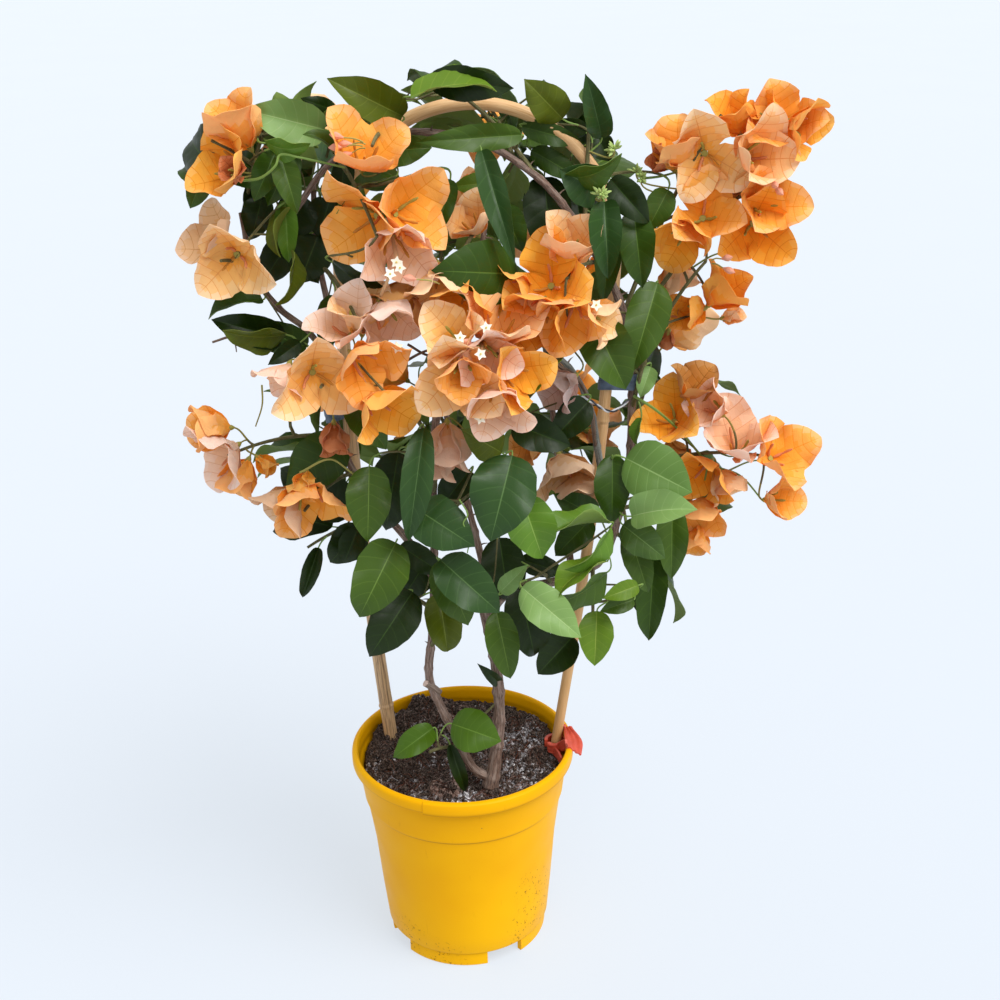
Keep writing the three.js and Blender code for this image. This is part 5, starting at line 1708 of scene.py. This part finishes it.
slightTwigs = [  # finish, radius at the foot and at the tip, and the knots from the foot
    (0, 1.3, 0.8, [(-113, -2, 492), (-132, -10, 491), (-142, -15, 495), (-155, -20, 493)]),
    (0, 0.6, 0.4, [(-141, -15, 495), (-140, -18, 485)]),
    (2, 0.9, 0.7, [
        (-127, -22, 599), (-112, -34, 603), (-102, -38, 611), (-99, -36, 617), (-87, -36, 615),
        (-73, -38, 612), (-59, -42, 609),
    ]),
    (0, 1.0, 0.7, [(-32, -30, 476), (-15, -34, 486), (3, -40, 491)]),
    (0, 1.0, 0.7, [(-26, -30, 490), (-12, -34, 483), (3, -38, 487)]),
    (2, 0.6, 0.4, [(4, -96, 406), (9, -98, 396), (6, -98, 390), (10, -97, 381), (8, -94, 367)]),
    (3, 0.8, 0.5, [(-100, -60, 414), (-79, -66, 425), (-68, -66, 417), (-58, -62, 404)]),
    (3, 0.7, 0.5, [(-125, -20, 462), (-126, -20, 448), (-132, -18, 432)]),
    (2, 1.1, 0.6, [
        (127, -6, 440), (142, -8, 430), (160, -8, 413), (181, -10, 389), (202, -12, 380), (218, -16, 362),
    ]),
    (2, 0.7, 0.5, [(180, -10, 390), (178, -8, 374), (179, -4, 360)]),
    (2, 0.7, 0.5, [(194, -12, 384), (208, -14, 391), (221, -14, 392)]),
    (2, 0.7, 0.5, [(185, -10, 398), (194, -10, 394), (199, -8, 393)]),
    (1, 1.3, 0.8, [
        (125, 0, 578), (132, 2, 570), (143, 4, 551), (153, 5, 539), (167, 5, 526), (177, 6, 510),
        (179, 6, 500),
    ]),
    (2, 0.7, 0.5, [(167, 5, 526), (180, 4, 534), (193, 2, 538)]),
    (3, 0.7, 0.5, [(147, 5, 546), (154, 12, 522), (155, 14, 501), (153, 16, 482)]),
    (2, 0.9, 0.7, [(130, 0, 588), (143, 0, 589), (154, 2, 591)]),
    (2, 0.7, 0.5, [(154, 2, 591), (170, 2, 593), (184, 2, 598), (197, 6, 612)]),
    (0, 1.7, 1.3, [
        (70, -16, 478), (75, -20, 468), (84, -24, 463), (92, -24, 450), (97, -22, 433), (99, -16, 412),
        (101, -10, 404),
    ]),
]
openFlowers = [  # middle of each white star
    (8, -106, 517), (24, -104, 522), (20, -112, 508), (93, -84, 528), (-27, -82, 555), (-29, -80, 558),
    (-31, -84, 505), (19, -100, 462), (-33, -84, 552),
]
pinkBuds = [
    (-63, -50, 630), (-64, -50, 623), (-58, -50, 618), (-58, -50, 625), (214, -24, 586), (218, -20, 581),
    (184, -30, 541), (186, -28, 532), (-22, -80, 548), (12, -100, 512),
]
budClusters = [(112, -10, 609), (99, -50, 589), (130, -4, 589), (127, -4, 593)]
star = {"reach": 4.0, "waist": 2.2, "cup": 0.7, "thickness": 0.5, "throat": [0.75, 0.5]}
bud = {
    "pink": [0.5, 0.9, 1.5, 1.9, 2.1, 1.7, 1.0, 0.2],  # radii from the foot to the tip
    "green": [0.3, 0.4, 0.7, 1.0, 0.8, 0.2],
    "perCluster": 16,
}
thorn = {
    "radii": [0.85, 0.65, 0.55, 0.45, 0.35, 0.2, 0.06],
    "spacing": (22, 26),
    "stub": [(-15, -32, 226), (-19.5, -33, 231), (-25, -34, 236)],  # a cut side shoot
}
wire = {
    "knots": [(63, -30, 451), (74, -36, 455), (91, -30, 448), (111, -14, 432), (124, -4, 436)],
    "radius": 0.6,
    "twist": 26,  # radians over its length
}


def nearestWood(place, limit=400):  # the nearest place on a limb or a foliage stem
    best, spot = limit, place
    for path in list(limbs.values()) + [stem.path for stem in stems.values()]:
        apart = np.linalg.norm(path.points - place, axis=1)
        if apart.min() < best:
            best, spot = apart.min(), path.points[apart.argmin()]
    return spot


def makeSlightTwigs():
    heap = Heap()
    for finish, foot, tip, knots in slightTwigs:
        path = smoothPath(knots, 8)
        addTube(heap, path.points, np.linspace(foot, tip, len(path.points)), 6, finish)
    heap.piece("slight_twigs", twigFinishes, "bark")


def addStar(heap, place, heading, twist):
    ring = []
    for k in range(10):
        isPoint = k % 2 == 0
        way = outFrom(heading, 36 * k + twist)
        reach = star["reach"] if isPoint else star["waist"]
        ring.append(place + way * reach + heading * star["cup"] * isPoint)
    back = [p - heading * star["thickness"] for p in ring]
    points = ring + back + [place - heading * 0.3, place - heading * 1.2]
    k = np.arange(10)
    after = np.roll(k, -1)
    rim = np.stack([after, k, k + 10, after + 10], axis=1)
    heap.add(np.array(points), [fanFaces(20, 0, 10), fanFaces(21, 10, 10, flip=True), rim])
    addTube(heap, [place - heading * 0.5, place + heading * 0.9], star["throat"], 6, finish=1)


def makeOpenFlowers():
    heap = Heap()
    feet = [vector(*row[1]) for row in bloomAims]
    for number, place in enumerate(openFlowers):
        draw = chance(300 + number)
        place = vector(*place)
        base = min(feet, key=lambda foot: np.linalg.norm(foot - place))
        heading = unit(unit(place - base) * 0.4 + unit(eye - place) + upward * 0.3 * draw())
        bend = mix(base, place, 0.6) - heading * 4
        tube = bezier(base, bend, place - heading * 6, place - heading * 0.6, 9)
        addTube(heap, tube, np.interp(np.linspace(0, 1, 9), [0, 0.3, 0.8, 1], [0.9, 1.2, 0.8, 0.9]), 6, 2)
        addStar(heap, place, heading, 72 * draw())
    heap.piece("open_flowers", [
        leafFinish("flower_star_cream", "FFF8E4", "FFF6DC"),
        leafFinish("flower_star_throat", "D8C060", "E0C870"),
        leafFinish("flower_star_tube", "D6B48A", "E0C090"),
    ], "bract")


def makeBuds():
    heap = Heap()
    for number, place in enumerate(pinkBuds):
        draw = chance(500 + number)
        place = vector(*place)
        foot = mix(nearestWood(place), place, 0.25)
        way = unit(place - foot)
        stalk = bezier(foot, mix(foot, place, 0.4) + upward * 2, place - way * 8, place - way * 4, 8)
        addTube(heap, stalk, 0.5, 5)
        line = place + way * np.linspace(-5, 4, 8)[:, None]
        addTube(heap, line, np.array(bud["pink"]) * (0.9 + 0.3 * draw()), 8, 1)
    for number, place in enumerate(budClusters):
        draw = chance(600 + number)
        place = vector(*place)
        addTube(heap, bezier(nearestWood(place), place - upward * 8, place - upward * 5, place, 8), 0.6, 5)
        for _ in range(bud["perCluster"]):
            way = unit(vector(draw() - 0.5, draw() - 0.7, draw() - 0.3))
            line = place + way * np.linspace(0, 3 + 5 * draw(), 6)[:, None]
            addTube(heap, line, np.array(bud["green"]), 6, 2)
    heap.piece("buds", [
        leafFinish("bud_stalk", "A8A058", "B8B060"),
        leafFinish("bud_pink", "E8A488", "F0B090", 0.45, 0.65),
        leafFinish("bud_green", "B4C878", "C4D880", 0.45, 0.65),
    ], "bract")


def makeThorns():
    heap = Heap()
    for number, (name, path) in enumerate(limbs.items()):
        if name == "trunk" or name not in limbKnots:
            continue
        draw = chance(800 + number)
        share = 0.12
        while share < 0.95:
            head = path.heading(share)
            way = unit(outFrom(head, 360 * draw()) + head * 0.25)
            foot = path.at(share) + way * (limbRadius(name, share) * 0.8)
            bend, tip = way * 4.5 - head * 0.8, way * 6.5 - head * 2
            line = bezier(foot, foot + way * 2.5, foot + bend, foot + tip, 7)
            addTube(heap, line, thorn["radii"], 6)
            share += drawn(thorn["spacing"], draw) / path.length
    stub = smoothPath(thorn["stub"], 5)
    addTube(heap, stub.points, np.linspace(2.5, 2.9, len(stub.points)), 12)
    cut = stub.points[-1] + stub.heading(1) * np.array([[-0.4], [0.2], [0.45]])
    addTube(heap, cut, [3.0, 2.75, 2.2], 12, 1)
    heap.piece("thorns", [
        barkFinish("thorn_skin", "857060", "5C4A40", "A8968A"),
        barkFinish("fresh_cut", "E8CFC0", "D8B4A4", "F4E4DA"),
    ], "bark")


def wireFinish(name, first, second):
    coat = Finish(name, first, 0.4)
    coat.paint(coat.blend(coat.range(coat.speckle(220, 3), 0.4, 0.65), first, second))
    coat.mottledGloss(400, 0.35, 0.55)
    return coat.material


def makeWire():  # two strands twisted round each other
    path = smoothPath(wire["knots"], 14)
    shares = np.linspace(0, 1, len(path.points))
    heap = Heap()
    for number in (0, 1):
        line = []
        for share in shares:
            turn = math.degrees(wire["twist"] * share) + 180 * number
            line.append(path.at(share) + outFrom(path.heading(share), turn) * wire["radius"])
        addTube(heap, line, wire["radius"], 6, number)
    finishes = [wireFinish("wire_black", "22242A", "3A3C44"), wireFinish("wire_white", "D8DADC", "B4B8BC")]
    heap.piece("tie_wire", finishes, "tie_strip")


makeSlightTwigs()
makeOpenFlowers()
makeBuds()
makeThorns()
makeWire()
print("stage: small things")


# Clip on the rim

def clipFinish():
    plastic = Finish("clip_plastic_red", "C84A34", 0.42, Specular_IOR_Level=0.5)
    plastic.paint(plastic.blend(plastic.range(plastic.speckle(120, 3), 0.35, 0.7), "D2533A", "B8402A"))
    plastic.mottledGloss(300, 0.34, 0.5)
    plastic.bump(plastic.speckle(700, 2), 0.12, 0.0003)
    return plastic.material


clip = {
    "low": 149.5,
    "rib": 1.9,
    "gap": 0.5,
    "ribs": 3,
    "hole": 6.2,
    "wall": 2.3,
    "opening": (-145, 185),  # degrees that the ring runs over
    "armHeight": 6,
    "armThickness": 1.7,
    "armFront": [(66, 3, 152.5), (69.5, -0.2, 153), (74, -1.5, 155), (77, -6, 160), (79, -13, 165)],
    "armBack": [(76, 15, 153.5), (79, 12.5, 160), (79.5, 8, 165.5)],
    "armWall": [(70.5, 0, 151.5), (73, -7, 151.5), (74.8, -17, 152)],
    "plateInside": [(78.6, 9, 166), (78, -4, 165.6), (79.4, -17.5, 165.4)],
    "plateOutside": [(84, 7, 168.5), (91.4, -5, 161.5), (89.6, -15, 156)],
    "plateRibs": 3,
}


def addRing(heap, centre, low):  # one rib round the cane
    turns = np.radians(np.linspace(*clip["opening"], 40))
    outer, hole = clip["hole"] + clip["wall"], clip["hole"]
    outline = [(math.cos(a) * outer, math.sin(a) * outer) for a in turns]
    outline += [(math.cos(a) * hole, math.sin(a) * hole) for a in turns[::-1]]
    rows = [[centre + vector(x, y, z) for x, y in outline] for z in (low, low + clip["rib"])]
    heap.add(rows, tubeFaces(2, len(outline)))


def addBand(heap, points, height, thickness):  # an upright strip with a ridge along each edge
    heads = np.gradient(points, axis=0)
    sides = np.array([unit(np.cross(head, upward)) for head in heads])
    ups = np.array([squareTo(upward, unit(head)) for head in heads])
    corners = ((1, 1), (1, -1), (-1, -1), (-1, 1))
    grid = np.stack([points + sides * a * thickness / 2 + ups * b * height / 2 for a, b in corners], axis=1)
    heap.add(grid, tubeFaces(len(points), 4))
    for share in (-0.5, 0, 0.5):
        addTube(heap, points + ups * height * share, thickness * 0.62, 8)


def addPlate(heap, inside, outside):  # a ribbed plate that lies over the rim
    shares = np.linspace(0, 1, 6 * clip["plateRibs"] + 1)[None, :, None]
    top = inside[:, None] * (1 - shares) + outside[:, None] * shares
    normal = units(np.cross(np.gradient(top, axis=0), np.gradient(top, axis=1)))
    normal *= np.sign(normal[..., 2:])
    top = top + normal * (0.8 - 0.4 * np.cos(2 * math.pi * clip["plateRibs"] * shares))
    low = top - normal * clip["armThickness"]
    rows = np.concatenate([top, low[:, ::-1]], axis=1)
    heap.add(rows, tubeFaces(*rows.shape[:2], flip=True))


def makeClip():
    leg = hoopPath(1, 1 - cane["legShare"])
    centre = leg.points[np.argmin(np.abs(leg.points[:, 2] - 153))] * vector(1, 1, 0)
    heap = Heap()
    for k in range(clip["ribs"]):
        addRing(heap, centre, clip["low"] + k * (clip["rib"] + clip["gap"]))
    for knots in (clip["armFront"], clip["armBack"], clip["armWall"]):
        addBand(heap, smoothPath(knots, 8).points, clip["armHeight"], clip["armThickness"])
    addPlate(heap, smoothPath(clip["plateInside"], 8).points, smoothPath(clip["plateOutside"], 8).points)
    heap.piece("rim_clip", [clipFinish()], "clip_plastic", ["clip"], crease=38)


makeClip()


# Ties: strips wound round the cane and a limb

ties = {  # the part of the hoop, then the limb, each with the share along it
    "tie_right": {
        "leg": (1 - cane["legShare"], 1, 0.21), "limb": ("bough_right_rise", 0.72),
        "height": 6, "turns": 3, "radius": 5.4,
    },
    "tie_left": {
        "leg": (0, cane["legShare"], 0.74), "limb": ("bough_left", 0.84),
        "height": 5, "turns": 2, "radius": 6.3,
    },
}


def stripFinish():
    strip = Finish("tie_strip_slate", "54657A", 0.5)
    strip.paint(strip.blend(strip.range(strip.speckle(180, 4), 0.35, 0.7), "5B6C80", "3E4B5C"))
    strip.mottledGloss(300, 0.4, 0.62)
    strip.bump(strip.speckle(500, 3), 0.3, 0.0004)
    return strip.material


def wind(heap, a, b, axis, tie):
    middle, apart = (a + b) / 2, b - a
    half = float(np.linalg.norm(apart - axis * np.dot(apart, axis))) / 2
    across = squareTo(apart, axis)
    side = np.cross(axis, across)
    edge = axis * tie["height"] / 2
    for turn in range(tie["turns"]):
        rise = (turn - (tie["turns"] - 1) / 2) * tie["height"] * 0.62
        rows = []
        for angle in circle(40):
            wide = tie["radius"] + 0.5 * turn + 0.25 * math.sin(5 * angle + turn)
            shift = half * math.copysign(1, math.cos(angle))
            direction = across * (shift + wide * math.cos(angle)) + side * wide * math.sin(angle)
            spot = middle + direction + axis * (rise + 1.2 * math.sin(angle + 1.9 * turn))
            inner = spot - unit(direction) * 0.7
            rows.append([spot - edge, spot + edge, inner + edge, inner - edge])
        rows.append(rows[0])
        heap.add(rows, [gridFaces(len(rows), 4, closed=True)])


def makeTie(node, piece, finish):
    tie = ties[node]
    start, end, legShare = tie["leg"]
    limb, limbShare = tie["limb"]
    leg = hoopPath(start, end)
    head, other = leg.heading(legShare), limbs[limb].heading(limbShare)
    axis = unit(head + other * math.copysign(1, float(np.dot(head, other))))
    heap = Heap()
    wind(heap, leg.at(legShare), limbs[limb].at(limbShare), axis, tie)
    heap.piece(piece, [finish], "tie_strip", [node])


strip = stripFinish()
makeTie("tie_right", "tie_strip_right", strip)
makeTie("tie_left", "tie_strip_left", strip)
print("stage: clip and ties")
